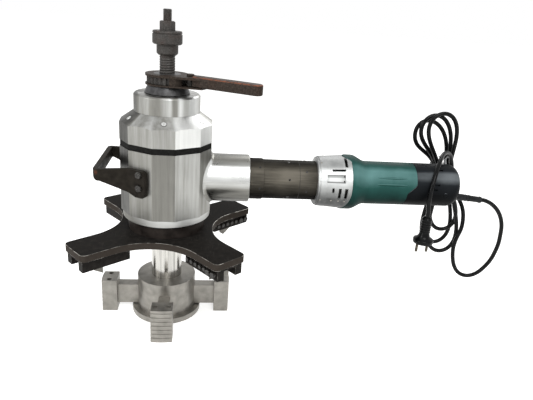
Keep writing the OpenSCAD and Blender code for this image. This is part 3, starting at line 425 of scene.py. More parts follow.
def handle_paint(tree, hues):
    """Carry handle: thick black paint with a soft orange peel, and a rust spot at the grip's near corner."""
    peel = grain(tree, 1.8, detail=2.0)
    scuff = grain(tree, 11, detail=5.0)
    skin = shades(tree, scuff, hues.paint, (0.3, 0.75), (0.75, 1.6))
    place = add(tree, "ShaderNodeTexCoord").outputs["Object"]
    off = add(tree, "ShaderNodeVectorMath", {"operation": "DISTANCE"})
    fill(tree, off.inputs[0], place)
    fill(tree, off.inputs[1], RUST_SPOT)
    near = spread(tree, off.outputs["Value"], 0.7, 0.0, 0.0015, 0.005)
    spot = sums(tree, near, spread(tree, peel, 0.3, 1.0), "MULTIPLY")
    skin = over(tree, spot, skin, hues.rust)
    surface(tree, skin, (scuff, 0.38, 0.56), shine=0.03, bump=(peel, 0.08, 0.4))


def gunmetal(tree, hues):
    """Gearbox tube: browned steel, ground lengthwise; a painted highlight along its upper front and middle,
    painted shade black below and towards the motor.
    """
    lengthwise = grain(tree, 2.2, (0.05, 1.0, 1.0), 4.0)
    rubbed = grain(tree, 16, (0.35, 1.0, 1.0), 4.0)
    tone = painted_light_by_facing(tree, "Z", ((-180, 0.4), (-120, 0.0), (-70, 0.0), (-35, 0.03), (-12, 0.34), (12, 0.6),
                              (38, 0.75), (55, 0.42), (75, 0.1), (100, 0.2), (130, 0.6), (180, 0.4)))
    tone = sums(tree, tone, painted_light_along_motor(tree, 150, 260, 0.9, 0.98, 1.15, 1.05, 0.72), "MULTIPLY")
    tone = varied(tree, tone, rubbed, 0.1)
    tone = varied(tree, tone, lengthwise, 0.06)
    skin = shades(tree, tone, hues.tube, (0.0, 0.05), (0.42, 0.45), (0.8, 1.5))
    surface(tree, skin, (rubbed, 0.5, 0.4), shine=0.012, bump=(lengthwise, 0.02, 0.3))


def ground_steel(tree, hues):
    """Mandrel column: bright ground steel with faint rings and long upright marks from the key."""
    rings = grain(tree, 0.8, (0.04, 0.04, 1.0), 3.0)
    marks = grain(tree, 6, (1.0, 1.0, 0.04), 3.0)
    skin = shades(tree, marks, hues.chrome, (0.34, 0.45), (0.5, 0.85), (0.66, 1.0))
    surface(tree, skin, (rings, 0.14, 0.24), metal=1.0, bump=(rings, 0.02, 0.3))


def screw_steel(tree, hues):
    """Screws and small parts: plain steel with dull and bright specks."""
    specks = grain(tree, 1.3, detail=4.0)
    skin = shades(tree, specks, hues.steel, (0.3, 0.5), (0.7, 1.3))
    surface(tree, skin, (specks, 0.24, 0.42), metal=0.95)


def dark_screw(tree, hues):
    """Black screws: oxide with rubbed specks."""
    specks = grain(tree, 1.2, detail=4.0)
    skin = tones(tree, specks, (0.35, shaded(hues.oxide, 0.7)), (0.6, shaded(hues.oxide, 1.6)),
                 (0.78, shaded(hues.bare, 0.45)))
    surface(tree, skin, (specks, 0.2, 0.32), metal=0.3, shine=0.4)


def bright_screw(tree, hues):
    """Cone screws: small polished domes that catch the light."""
    specks = grain(tree, 1.5, detail=4.0)
    skin = shades(tree, specks, hues.aluminium, (0.3, 0.8), (0.7, 1.0))
    surface(tree, skin, (specks, 0.2, 0.3), metal=0.9)


def tool_steel(tree, hues):
    """Tool bits: grey ground steel with cross lines from the grinder."""
    lines = grain(tree, 0.6, (1.0, 0.1, 1.0), 3.0)
    skin = shades(tree, lines, hues.steel, (0.3, 0.35), (0.7, 0.8))
    surface(tree, skin, (lines, 0.3, 0.42), metal=0.9)


def jaw_steel(tree, hues):
    """Jaws, expander and foot: plain grey steel with a mill bloom."""
    bloom = grain(tree, 14, detail=5.0)
    skin = shades(tree, bloom, hues.steel, (0.3, 0.8), (0.7, 1.25))
    surface(tree, skin, (bloom, 0.34, 0.46), metal=0.8, bump=(bloom, 0.03, 0.25))


def turned_bronze(tree, hues):
    """Guide bush: turned bronze with darker tarnish."""
    tarnish = grain(tree, 7, detail=4.0)
    skin = tones(tree, tarnish, (0.3, colour("#7d5c30")), (0.7, colour("#c79a57")))
    surface(tree, skin, (tarnish, 0.28, 0.42), metal=1.0)


def wound_core(tree, hues):
    """Motor windings and core: copper brown over dark iron."""
    turns = grain(tree, 1.2, (0.1, 1.0, 1.0), 3.0)
    skin = tones(tree, turns, (0.35, colour("#241e1a")), (0.65, colour("#5a4433")))
    surface(tree, skin, (turns, 0.4, 0.55), metal=0.3, shine=0.1)


def moulded(tree, tone, light, stops, run):
    """Moulded plastic: a fine sparked texture, a painted sheen along the upper front and painted shade below.
    """
    spark = grain(tree, 0.6, detail=3.0)
    cloud = grain(tree, 30, detail=4.0)
    # Painted light: the level follows the way a face looks and its place along the motor; low is painted
    # shade, the light colour a painted highlight
    level = sums(tree, painted_light_by_facing(tree, "Z", stops), run, "MULTIPLY")
    level = varied(tree, level, cloud, 0.06)
    skin = tones(tree, level, (0.0, shaded(tone, 0.14)), (0.45, tone), (0.85, light))
    surface(tree, skin, (cloud, 0.36, 0.46), shine=0.03, bump=(spark, 0.04, 0.35))


def green_shell(tree, hues):
    """Motor housing: deep teal plastic, with a painted sheen that is strongest on the shoulder."""
    # 668f8d is the colour of the painted sheen
    moulded(tree, hues.green, colour("#668f8d"), ((-180, 0.4), (-120, 0.0), (-65, 0.02), (-35, 0.08),
                                                  (-12, 0.28), (12, 0.5), (34, 0.7), (50, 0.7), (64, 0.42),
                                                  (78, 0.22), (100, 0.26), (140, 0.7), (180, 0.4)),
            painted_light_along_motor(tree, 312, 432, 0.85, 1.0, 1.12, 1.05, 0.95, 1.0, 1.0))


def black_shell(tree, hues):
    """Rear housing and switch: charcoal plastic with a painted grey sheen along its upper front."""
    # 6a6f72 is the colour of the painted sheen
    moulded(tree, hues.black, colour("#6a6f72"), ((-180, 0.3), (-120, 0.0), (-65, 0.0), (-35, 0.03),
                                                  (-12, 0.1), (12, 0.26), (34, 0.74), (48, 0.72), (60, 0.3),
                                                  (78, 0.1), (100, 0.2), (140, 0.6), (180, 0.3)),
            painted_light_along_motor(tree, 420, 521, 0.8, 0.9, 1.0, 1.1, 1.1))


def joints_and_painted_shade(tree, hues):
    """Joint lines and set screws, and painted shade in the bottoms of slots and holes: dusty near-black."""
    dust = grain(tree, 2, detail=4.0)
    skin = tones(tree, dust, (0.3, colour("#0c0c0c")), (0.75, colour("#26241f")))
    surface(tree, skin, (dust, 0.7, 0.85))


def black_rubber(tree, hues):
    """Cord and plug: black rubber with a sheen and greyed rubbing marks."""
    rub = grain(tree, 7, detail=5.0)
    fine = grain(tree, 0.8, detail=3.0)
    skin = shades(tree, rub, hues.rubber, (0.32, 0.3), (0.6, 0.5), (0.8, 1.5))
    surface(tree, skin, (rub, 0.16, 0.26), shine=0.12, bump=(fine, 0.03, 0.3))


def soft_rubber(tree, hues):
    """Cord sleeve: greyer rubber, rubbed dull."""
    rub = grain(tree, 9, detail=5.0)
    skin = shades(tree, rub, hues.rubber, (0.3, 1.1), (0.75, 3.2))
    surface(tree, skin, (rub, 0.36, 0.5), shine=0.12, bump=(rub, 0.05, 0.2))


def grey_plastic(tree, hues):
    """Twist tie: grey plastic over wire, scuffed pale."""
    scuff = grain(tree, 2.5, detail=4.0)
    skin = tones(tree, scuff, (0.3, colour("#6c6e70")), (0.7, colour("#b9bbbc")))
    surface(tree, skin, (scuff, 0.3, 0.45))


def pin_nickel(tree, hues):
    """Plug pins: nickel, browned in a cloudy tarnish."""
    tarnish = grain(tree, 5, detail=4.0)
    skin = tones(tree, tarnish, (0.35, colour("#35312b")), (0.65, colour("#5f594f")))
    surface(tree, skin, (tarnish, 0.22, 0.34), metal=1.0)


def finish(recipe):
    """Returns a finish by its recipe, made the first time it is asked for."""
    name = recipe.__name__
    material = bpy.data.materials.get(name)
    if material is None:
        material = bpy.data.materials.new(name)
        material.use_nodes = True
        material.node_tree.nodes.clear()
        recipe(material.node_tree, bpy.context.scene.beveling_colours)
    return material


# Shaping


def node_copy(node):
    """A merged copy of a solid of the frame, in millimetres."""
    bm = bmesh.new()
    bm.from_mesh(frame["nodes"][node].data)
    bmesh.ops.scale(bm, vec=(1 / MM,) * 3, verts=bm.verts)
    bmesh.ops.remove_doubles(bm, verts=bm.verts, dist=0.004)
    bmesh.ops.dissolve_limit(bm, angle_limit=radians(0.6), verts=bm.verts, edges=bm.edges)
    return bm


def soften(bm, width, segments=2, where=None, angle=28.0):
    """Rounds the sharp edges, or those of them that a test picks, and returns the new faces."""
    edges = [e for e in bm.edges if len(e.link_faces) == 2 and e.calc_face_angle(0.0) > radians(angle)
             and (where is None or where(e))]
    if not edges:
        raise RuntimeError("no edge was found to round")
    return bmesh.ops.bevel(bm, geom=edges, offset=width, offset_type="OFFSET", affect="EDGES",
                           segments=segments, profile=0.5, clamp_overlap=True, material=-1)["faces"]


def middle(edge):
    """The middle of an edge."""
    return (edge.verts[0].co + edge.verts[1].co) / 2


def along(edge):
    """The direction of an edge."""
    return (edge.verts[1].co - edge.verts[0].co).normalized()


def put(name, data):
    """Puts a mesh, curve, lamp or camera in the scene."""
    thing = bpy.data.objects.new(name, data)
    bpy.context.scene.collection.objects.link(thing)
    return thing


def make(bm, name, body, *recipes, nodes=(), turn_out=False):
    """Makes a piece of a mesh, gives it its finishes, and sets it on its body."""
    if turn_out:
        face_outwards(bm)
    bmesh.ops.scale(bm, vec=(MM,) * 3, verts=bm.verts)
    for face in bm.faces:
        face.smooth = True
    for edge in bm.edges:
        edge.smooth = len(edge.link_faces) == 2 and edge.calc_face_angle(0.0) < SHARP
    mesh = bpy.data.meshes.new(name)
    bm.to_mesh(mesh)
    bm.free()
    for recipe in recipes:
        mesh.materials.append(finish(recipe))
    piece = put(name, mesh)
    even = piece.modifiers.new("Even shading", "WEIGHTED_NORMAL")
    even.keep_sharp = True
    return settle(piece, body, nodes)


def settle(piece, body, nodes):
    """Sets a piece on its body, in place of the solids that it stands for."""
    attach(piece, body)
    if nodes:
        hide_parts(*nodes)
    return piece


def rounded(node, recipe, width, segments=2):
    """A copy of a solid with its edges rounded stands for it."""
    bm = node_copy(node)
    soften(bm, width, segments)
    return make(bm, node + "_rounded", BODY_OF[node], recipe, nodes=(node,))


def dress(recipe, *nodes):
    """Gives solids of the frame a finish."""
    for node in nodes:
        for slot in frame["nodes"][node].material_slots:
            slot.material = finish(recipe)


def polyline(bm, points):
    """Points joined by edges, to be spun or extruded."""
    verts = [bm.verts.new(p) for p in points]
    edges = [bm.edges.new(pair) for pair in zip(verts, verts[1:])]
    return verts + edges


def spun(bm, points, axis, centre, steps):
    """A full turn of a profile about an axis."""
    bmesh.ops.spin(bm, geom=polyline(bm, points), cent=centre, axis=axis, dvec=(0, 0, 0),
                   angle=tau, steps=steps, use_merge=True)
    bmesh.ops.remove_doubles(bm, verts=bm.verts, dist=0.001)


def turned(bm, profile, steps=48):
    """A full turn about the upright axis of a profile of radii and heights."""
    spun(bm, [(r, 0, z) for r, z in profile], (0, 0, 1), (0, 0, 0), steps)


def turned_motor(bm, profile):
    """A full turn about the motor's axis of a profile of places along it and radii."""
    spun(bm, [(x, 0, MOTOR_Z + r) for x, r in profile], (1, 0, 0), (0, 0, MOTOR_Z), 96)


def cut_flat(bm, place, normal, clear=False):
    """Cuts a mesh along a plane, and may clear away what stands past it."""
    bmesh.ops.bisect_plane(bm, geom=bm.verts[:] + bm.edges[:] + bm.faces[:], plane_co=place, plane_no=normal,
                           clear_outer=clear)


def face_outwards(bm):
    """Turns all faces of a closed mesh outwards."""
    bmesh.ops.recalc_face_normals(bm, faces=bm.faces)


def join(bm, part):
    """Adds a part to a mesh and lets the part go."""
    mesh = bpy.data.meshes.new("part")
    part.to_mesh(mesh)
    part.free()
    bm.from_mesh(mesh)
    bpy.data.meshes.remove(mesh)


def eased(value, start, end):
    """Rises smoothly from 0 to 1 between two values."""
    t = min(1.0, max(0.0, (value - start) / (end - start)))
    return t * t * (3 - 2 * t)


def thread(bm, radius, depth, pitch, low, high, steps=32):
    """A thread's flanks: one pitch of its profile, spun upwards."""
    turns = int((high - low) / pitch) - 1
    profile = [(radius - depth, 0, low), (radius - 0.12 * depth, 0, low + 0.4 * pitch),
               (radius - 0.12 * depth, 0, low + 0.55 * pitch), (radius - depth, 0, low + 0.95 * pitch),
               (radius - depth, 0, low + pitch)]
    bmesh.ops.spin(bm, geom=polyline(bm, profile), cent=(0, 0, 0), axis=(0, 0, 1),
                   dvec=(0, 0, pitch / steps), angle=tau * turns, steps=steps * turns)
    bmesh.ops.remove_doubles(bm, verts=bm.verts, dist=0.002)


def on_motor(x, angle, radius):
    """A place on the motor: local X runs along it and Z points out; 0 degrees faces -Y and 90 up."""
    turn = radians(angle)
    out = Vector((0, -cos(turn), sin(turn)))
    side = out.cross(Vector((1, 0, 0)))
    place = Matrix(((1, side.x, out.x), (0, side.y, out.y), (0, side.z, out.z))).to_4x4()
    place.translation = Vector((x, 0, MOTOR_Z)) + radius * out
    return place


def lofted(bm, rings, segments=120):
    """Skins rings round the motor's axis; each is a radius and a place, or a rule that gives the place."""
    before = None
    for radius, place in rings:
        lying = Matrix.Translation((0, 0, MOTOR_Z)) @ Matrix.Rotation(pi / 2, 4, "Y")
        verts = bmesh.ops.create_circle(bm, segments=segments, radius=radius, matrix=lying)["verts"]
        for vert in verts:
            vert.co.x = place(vert.co) if callable(place) else place
        edges = list({e for v in verts for e in v.link_edges})
        if before:
            bmesh.ops.bridge_loops(bm, edges=before + edges)
        before = edges
    return before


def carved(bm, cutter):
    """Cuts one closed mesh out of another."""
    things = []
    for source in (bm, cutter):
        mesh = bpy.data.meshes.new("carving")
        source.to_mesh(mesh)
        source.free()
        things.append(put("carving", mesh))
    cut = things[0].modifiers.new("Cut", "BOOLEAN")
    cut.object = things[1]
    cut.operation = "DIFFERENCE"
    cut.solver = "EXACT"
    done = bmesh.new()
    done.from_object(things[0], bpy.context.evaluated_depsgraph_get())
    for thing in things:
        bpy.data.objects.remove(thing)
    return done


def slot_cutter(bm, x0, x1, angle, radius, width, depth):
    """A round-ended slot along the motor."""
    place = on_motor((x0 + x1) / 2, angle, radius)
    size = Matrix.Diagonal((x1 - x0, width, 2 * depth, 1))
    verts = bmesh.ops.create_cube(bm, size=1.0, matrix=place @ size)["verts"]
    out = place.to_3x3().col[2]
    edges = [e for e in {e for v in verts for e in v.link_edges} if abs(along(e).dot(out)) > 0.9]
    bmesh.ops.bevel(bm, geom=edges, offset=width * 0.45, offset_type="OFFSET", affect="EDGES", segments=4,
                    profile=0.5, material=-1)


def peg(bm, place, radius, height, edge):
    """A round peg with a softened rim, standing along a place's own Z."""
    part = bmesh.new()
    turned(part, [(0, height), (radius - edge, height), (radius, height - edge), (radius, -height)], 24)
    part.transform(place)
    join(bm, part)


def wire(name, radius, fineness, *routes):
    """A round wire of a radius in metres along routes in millimetres."""
    curve = bpy.data.curves.new(name, "CURVE")
    curve.dimensions = "3D"
    curve.bevel_depth = radius
    curve.bevel_resolution = fineness
    for route in routes:
        line = curve.splines.new("POLY")
        line.points.add(len(route) - 1)
        for point, place in zip(line.points, route):
            point.co = (*(place * MM), 1.0)
    return put(name, curve)


# Cord


def smooth_route(points, steps):
    """A curve through a route's points, with a few steps between each two."""
    made = []
    last = len(points) - 1
    for i in range(last):
        a, b, c, d = (points[max(i - 1, 0)], points[i], points[i + 1], points[min(i + 2, last)])
        for k in range(steps):
            t = k / steps
            made.append(0.5 * (2 * b + (c - a) * t + (2 * a - 5 * b + 4 * c - d) * t ** 2
                               + (3 * b - a - 3 * c + d) * t ** 3))
    return made + [points[last]]


DROOP = Vector((cos(radians(6)), 0, -sin(radians(6))))
SLEEVE_AT = Vector((REAR_END - 6, 0, MOTOR_Z - 20))
SLEEVE_PLACE = Matrix.Translation(SLEEVE_AT) @ DROOP.to_track_quat("Z", "Y").to_matrix().to_4x4()
CORD_START = SLEEVE_AT + 64 * DROOP
WAIST = Vector((524, 48, 272))
HANK_LEAN = radians(9)
HANK_UP = Vector((-sin(HANK_LEAN), 0, cos(HANK_LEAN)))
TAIL_END = Vector((460, -47, 214))
LOOP_STEP = 9.4
TIE_R, TIE_WIRE_R = 20.0, 1.1
# Reach, width and bend per millimetre of the loops above and below the waist
HANK_TOP = ((104, 52, 0.55), (111, 54, 0.3), (113, 54, 0.1))
HANK_LOW = ((160, 58, 0.05), (128, 50, -0.05), (172, 60, 0.01))


def hank_point(turn):
    """A point of the tied hank at a running angle; 90 is the waist on the way up."""
    a = radians(turn)
    rise = -cos(a)
    reach, width, bend = (HANK_TOP if rise > 0 else HANK_LOW)[min(int((turn - 90) // 360), 2)]
    ease = 0.25 if rise > 0 else 0.1
    up = reach * ((1 - ease) * rise + ease * rise ** 3)
    out = sin(a) * (12 + width * rise ** 2)
    lean = HANK_LEAN + radians(bend) * up
    bow = 1 / radians(bend)
    return WAIST + Vector((bow * (cos(lean) - cos(HANK_LEAN)) + out * cos(lean),
                           LOOP_STEP * (3 - (turn - 90) / 360),
                           bow * (sin(lean) - sin(HANK_LEAN)) + out * sin(lean)))


def cord_route():
    """The whole cord: lead from the sleeve, three tied loops, and the tail to the plug."""
    hank = [hank_point(90 + 3 * k) for k in range(361)]
    lead = [CORD_START - 14 * DROOP, CORD_START, CORD_START + 10 * DROOP]
    lead += [Vector(p) for p in (
        (603, 0, 227), (618, 1, 215), (630, 3, 199), (638, 5, 180), (642, 8, 160), (644, 10, 140),
        (643, 13, 120), (639, 15, 101), (631, 18, 83), (619, 21, 67), (602, 25, 59), (585, 29, 64),
        (574, 32, 79), (569, 35, 98), (568, 38, 117), (571, 39, 137), (577, 40, 156), (580, 46, 174),
        (580, 55, 192), (574, 64, 208), (563, 71, 223), (550, 75, 239), (541, 76, 256))]
    lead += [hank[0] - 8 * HANK_UP, hank[0]]
    tail = [hank[-1], hank[-1] + 8 * HANK_UP]
    tail += [Vector(p) for p in (
        (532, 47, 291), (524, 40, 305), (513, 31, 314), (500, 18, 316), (489, 3, 313), (480, -12, 307),
        (471, -26, 298), (464, -37, 285), (459, -44, 269), (457, -47, 252), (458, -47, 235))]
    tail += [TAIL_END + Vector((0, 0, 10)), TAIL_END]
    return evened(smooth_route(lead, 6)[:-1] + hank + smooth_route(tail, 6)[1:])


def evened(route):
    """Takes the last unevenness out of a route, with its first and last stretch held."""
    for _ in range(4):
        route = (route[:8] + [(a + 2 * b + c) / 4 for a, b, c in zip(route[7:], route[8:], route[9:-7])]
                 + route[-8:])
    return route


class BEVELING_OT_cord(bpy.types.Operator):
    """Lays the power cord with its sleeve, twist tie and plug"""

    bl_idname = "beveling.cord"
    bl_label = "Power cord"

    def execute(self, context):
        diameter = context.scene.beveling_sizes.cord_diameter
        route = cord_route()
        cord = wire("power_cord", diameter / 2, 5, route)
        cord.data.use_fill_caps = True
        cord.data.materials.append(finish(black_rubber))
        settle(cord, "housing", ("cord_lead", "cord_hank", "cord_tail"))
        plug = self.plug()
        tie = self.tie()
        self.sleeve()
        dress(pin_nickel, "plug_pins")
        return {"FINISHED"}

    def sleeve(self):
        """Tapered sleeve with a lip at its free end, turned along the drooping axis"""
        bm = bmesh.new()
        turned(bm, [(0, 0), (6.9, 0), (6.9, 7), (6.5, 9), (6.2, 24), (5.7, 46), (5.6, 60.5), (6.1, 61.2),
                    (6.3, 62.5), (6.1, 64.4), (5.4, 65), (4.0, 65), (3.9, 56)])
        for z in (28, 34, 40):
            turned(bm, [(5.5, z - 1.1), (6.35, z - 0.6), (6.35, z + 0.6), (5.5, z + 1.1)])
        bm.transform(SLEEVE_PLACE)
        return make(bm, "strain_relief", "housing", soft_rubber, nodes=("cord_sleeve",), turn_out=True)

    def plug(self):
        """Two-pin plug: ribbed grip, waisted body and a round face"""
        bm = bmesh.new()
        profile = [(4.1, 2), (6.0, 1.4), (7.6, 0)]
        for k in range(6):
            z = -1.2 - 4.7 * k
            profile += [(8.4, z), (9.3, z - 0.7), (9.5, z - 1.8), (9.3, z - 2.9), (8.4, z - 3.5)]
        profile += [(9.2, -30), (10.2, -34), (12.0, -37), (15.0, -39), (17.0, -40), (17.8, -41.2),
                    (18.0, -42.6), (18.0, -46.4), (17.4, -47.6), (16.4, -48), (0, -48)]
        turned(bm, profile, 64)
        bm.transform(Matrix.Translation(TAIL_END))
        return make(bm, "plug_moulding", "housing", black_rubber, nodes=("plug_body",), turn_out=True)

    def tie(self):
        """Twist tie: a loop of flat wire round the waist, with its ends twisted together"""
        centre = WAIST + Vector((-3.1, 14.1, 8))

        def squared(share):
            return TIE_R * copysign(abs(share) ** 0.6, share)

        loop = [centre + Vector((squared(cos(a)), squared(sin(a)), 1.5 * sin(3 * a)))
                for a in (radians(-90 + 9 * k) for k in range(41))]
        spine = [centre + Vector((-0.45 * k, -TIE_R - 0.5 - 0.1 * k, 1.25 * k)) for k in range(22)]
        turns = [Vector((1.3 * cos(0.9 * k), 0, 1.3 * sin(0.9 * k))) for k in range(16)]
        turns += [turns[-1] + Vector((1.6 * k, -0.3 * k, 0.2 * k)) for k in range(1, 7)]
        twist = [p + t for p, t in zip(spine, turns)]
        other = [p - t for p, t in zip(spine, turns)]
        shape = wire("tie", TIE_WIRE_R * MM, 2, loop, twist, other)
        bm = bmesh.new()
        mesh = bpy.data.meshes.new_from_object(shape.evaluated_get(bpy.context.evaluated_depsgraph_get()))
        bm.from_mesh(mesh)
        bpy.data.meshes.remove(mesh)
        bpy.data.objects.remove(shape)
        bmesh.ops.scale(bm, vec=(1 / MM,) * 3, verts=bm.verts)
        return make(bm, "twist_tie", "housing", grey_plastic, nodes=("cord_tie",))


# Machine


def housing_face(y):
    """How far out the housing's side stands, at a distance from the motor's plane."""
    corner = BODY_R * sin(FLAT_HALF)
    if abs(y) < corner:
        return BODY_R * cos(FLAT_HALF)
    return (BODY_R * cos(radians(30) - FLAT_HALF) - abs(y) / 2) / cos(radians(30))


class BEVELING_OT_housing(bpy.types.Operator):
    """Builds the housing: milled body, seam ring, cap, screws and the filleted drive boss"""

    bl_idname = "beveling.housing"
    bl_label = "Housing"

    def execute(self, context):
        sizes = context.scene.beveling_sizes
        edge = sizes.machined_edge / MM
        rounded("main_housing", milled_aluminium, edge)
        rounded("upper_housing", bright_aluminium, edge)
        rounded("top_cap", lathe_aluminium, edge * 0.8)
        rounded("lower_ring", polished_ring, edge * 0.8)
        rounded("seam_ring", dull_black, 0.5)
        rounded("cone_screws", bright_screw, 0.4)
        self.boss(sizes.boss_fillet / MM)
        return {"FINISHED"}

    def boss(self, fillet):
        """Round boss that flares out onto the housing's flats"""
        bm = bmesh.new()
        rings = []
        for k in range(7):
            t = k / 6 * pi / 2
            radius = BOSS_R + fillet * (1 - sin(t))
            lift = fillet * (1 - cos(t)) - 0.3
            rings.append((radius, lambda co, lift=lift: housing_face(co.y) + lift))
        rings += [(BOSS_R, 100.0), (BOSS_R, BOSS_END - 2.2), (BOSS_R - 0.5, BOSS_END - 0.8),
                  (BOSS_R - 1.6, BOSS_END), (20.0, BOSS_END)]
        lofted(bm, rings)
        make(bm, "drive_boss_filleted", "housing", turned_aluminium, nodes=("drive_boss",), turn_out=True)


class BEVELING_OT_handle(bpy.types.Operator):
    """Builds the bent carry handle and its bolts"""

    bl_idname = "beveling.handle"
    bl_label = "Carry handle"

    def execute(self, context):
        corner = context.scene.beveling_sizes.handle_corner / MM
        bm = node_copy("carry_handle")
        outward = [Vector((cos(radians(a)), sin(radians(a)), 0)) for a in (120, 240)]

        def across_foot(edge):
            return (edge.calc_length() > 4 and middle(edge).x > -40
                    and max(abs(along(edge).dot(n)) for n in outward) > 0.99)

        soften(bm, corner * 0.7, 5, across_foot)
        soften(bm, corner, 5, lambda e: abs(along(e).z) > 0.99 and middle(e).x < 5 - GRIP_X)
        soften(bm, corner * 0.5, 4, lambda e: abs(along(e).z) > 0.99 and 6 < middle(e).x + GRIP_X < 12)
        soften(bm, 1.1, 3)
        for y in (-GRIP_HALF, GRIP_HALF):
            cut_flat(bm, (0, y, 0), (0, 1, 0))
        low = min(v.co.z for v in bm.verts if v.co.x < 5 - GRIP_X)
        for vert in bm.verts:
            inset = corner - vert.co.x - GRIP_X
            if inset > 0 and abs(vert.co.y) > GRIP_HALF + 1:
                lift = corner - sqrt(max(0.0, corner ** 2 - inset ** 2))
                vert.co.z += lift * max(0.0, 1 - (vert.co.z - low) / corner)
        make(bm, "carry_handle_bent", "housing", handle_paint, nodes=("carry_handle",))
        rounded("handle_bolts", dark_screw, 0.7)
        return {"FINISHED"}


class BEVELING_OT_feed(bpy.types.Operator):
    """Builds the threaded mandrel and rod, the hub, collar and nut, and the ratchet"""

    bl_idname = "beveling.feed"
    bl_label = "Feed and clamp"

    def execute(self, context):
        sizes = context.scene.beveling_sizes
        edge = sizes.machined_edge / MM
        self.mandrel(sizes.feed_pitch / MM)
        self.rod(sizes.rod_pitch / MM)
        rounded("lock_hub", oiled_steel, edge)
        rounded("thrust_collar", oiled_steel, edge)
        rounded("clamp_nut", oiled_steel, edge)
        rounded("feed_nut", smooth_blackened, edge * 0.8)
        rounded("ratchet_wheel", oiled_steel, 0.35)
        rounded("ratchet_pawl", oiled_steel, 0.4)
        rounded("pawl_pin", forged_steel, 0.8)
        self.lever(sizes.forged_edge / MM)
        return {"FINISHED"}

    def mandrel(self, pitch):
        """Column of the frame up to its shoulder, and a cut feed thread above it"""
        bm = node_copy("mandrel")
        cut_flat(bm, (0, 0, SHOULDER_Z), (0, 0, 1), True)
        soften(bm, 0.6, 2)
        for face in bm.faces:
            face.material_index = 0
        cut = bmesh.new()
        thread(cut, 12.6, 0.9, pitch, FEED_LOW, FEED_TOP + 2.5)
        turned(cut, [(FEED_CORE_R - 0.15, FEED_LOW), (FEED_CORE_R, FEED_LOW), (FEED_CORE_R, FEED_TOP),
                     (7.1, FEED_TOP)])
        face_outwards(cut)
        for face in cut.faces:
            face.material_index = 1
        join(bm, cut)
        make(bm, "mandrel_threaded", "mandrel", ground_steel, oiled_steel, nodes=("mandrel",))

    def rod(self, pitch):
        """Rod of the frame below the nut, and a cut thread with a chamfered end above it"""
        bm = node_copy("draw_rod")
        cut_flat(bm, (0, 0, ROD_LOW + 1), (0, 0, 1), True)
        cut = bmesh.new()
        thread(cut, 6.85, 0.65, pitch, ROD_LOW, ROD_TOP)
        turned(cut, [(ROD_CORE_R - 0.08, ROD_LOW), (ROD_CORE_R, ROD_LOW), (ROD_CORE_R, 528.6), (6.6, 528.9),
                     (6.6, 529.8), (5.7, ROD_TOP), (0, ROD_TOP)], 36)
        face_outwards(cut)
        join(bm, cut)
        make(bm, "draw_rod_threaded", "draw_rod", oiled_steel, nodes=("draw_rod",))

    def lever(self, round_off):
        """Forged lever: two plates and a well rounded bar, rusty along its upper edges"""
        bm = node_copy("ratchet_lever")

        def on_bar(place):
            return hypot(place.x, place.y) > BAR_START

        soften(bm, round_off, 3, lambda e: on_bar(middle(e)))
        soften(bm, 0.7, 2, lambda e: not on_bar(middle(e)))
        bm.normal_update()
        for face in bm.faces:
            centre = face.calc_center_median()
            upper = on_bar(centre) and centre.z > BAR_MID
            face.material_index = 1 if upper and 0.1 < face.normal.z < 0.97 else 0
        make(bm, "ratchet_lever_forged", "ratchet_lever", forged_steel, rusty_edge, nodes=("ratchet_lever",))


class BEVELING_OT_cutter(bpy.types.Operator):
    """Builds the cutter plate with its worn edges, the rails, screws, tools and spindle"""

    bl_idname = "beveling.cutter"
    bl_label = "Cutter"

    def execute(self, context):
        sizes = context.scene.beveling_sizes
        self.worn("cutter_plate", oiled_oxide, sizes.plate_edge / MM)
        self.worn("tool_rails", black_rail, 0.6)
        rounded("rail_screws", dark_screw, 0.8, 3)
        rounded("plate_bolts", dark_screw, 0.6)
        rounded("spindle", browned_steel, 0.8)
        for number in range(1, 5):
            rounded(f"tool_{number}", tool_steel, 0.3)
        return {"FINISHED"}

    def worn(self, node, recipe, width):
        """A solid with its edges rounded and rubbed bright"""
        bm = node_copy(node)
        edges = set(soften(bm, width, 2))
        for face in bm.faces:
            face.material_index = 1 if face in edges else 0
        make(bm, node + "_worn", "cutter", recipe, worn_oxide, nodes=(node,))


class BEVELING_OT_gearbox(bpy.types.Operator):
    """Builds the gearbox tube with its collar, joint lines and set screws, and the motor flange"""

    bl_idname = "beveling.gearbox"
    bl_label = "Gearbox"

    def execute(self, context):
        edge = context.scene.beveling_sizes.machined_edge / MM
        rounded("tube_collar", gunmetal, edge)
        rounded("gearbox_tube", gunmetal, 0.3)
        rounded("motor_flange", cast_aluminium, edge * 0.6)
        rounded("tube_screws", dark_screw, 0.2)
        bm = bmesh.new()
        for x in TUBE_JOINTS:
            turned_motor(bm, [(x - 0.5, TUBE_R - 0.2), (x - 0.35, TUBE_R + 0.06), (x + 0.35, TUBE_R + 0.06),
                              (x + 0.5, TUBE_R - 0.2)])
        for angle in SET_SCREW_ANGLES:
            peg(bm, on_motor(SET_SCREW_X, angle, TUBE_R + 1.5), 2.0, 0.15, 0.1)
        make(bm, "tube_joint_lines", "housing", joints_and_painted_shade, turn_out=True)
        return {"FINISHED"}


def height_angle(co):
    """How far round the motor a place stands, in degrees above or below its middle."""
    return degrees(atan2(co.z - MOTOR_Z, abs(co.y)))


def green_edge(co):
    """Where the green shell ends: a rounded tongue above, and set back below."""
    return GREEN_END + GREEN_TONGUE * eased(height_angle(co), -14, 18)


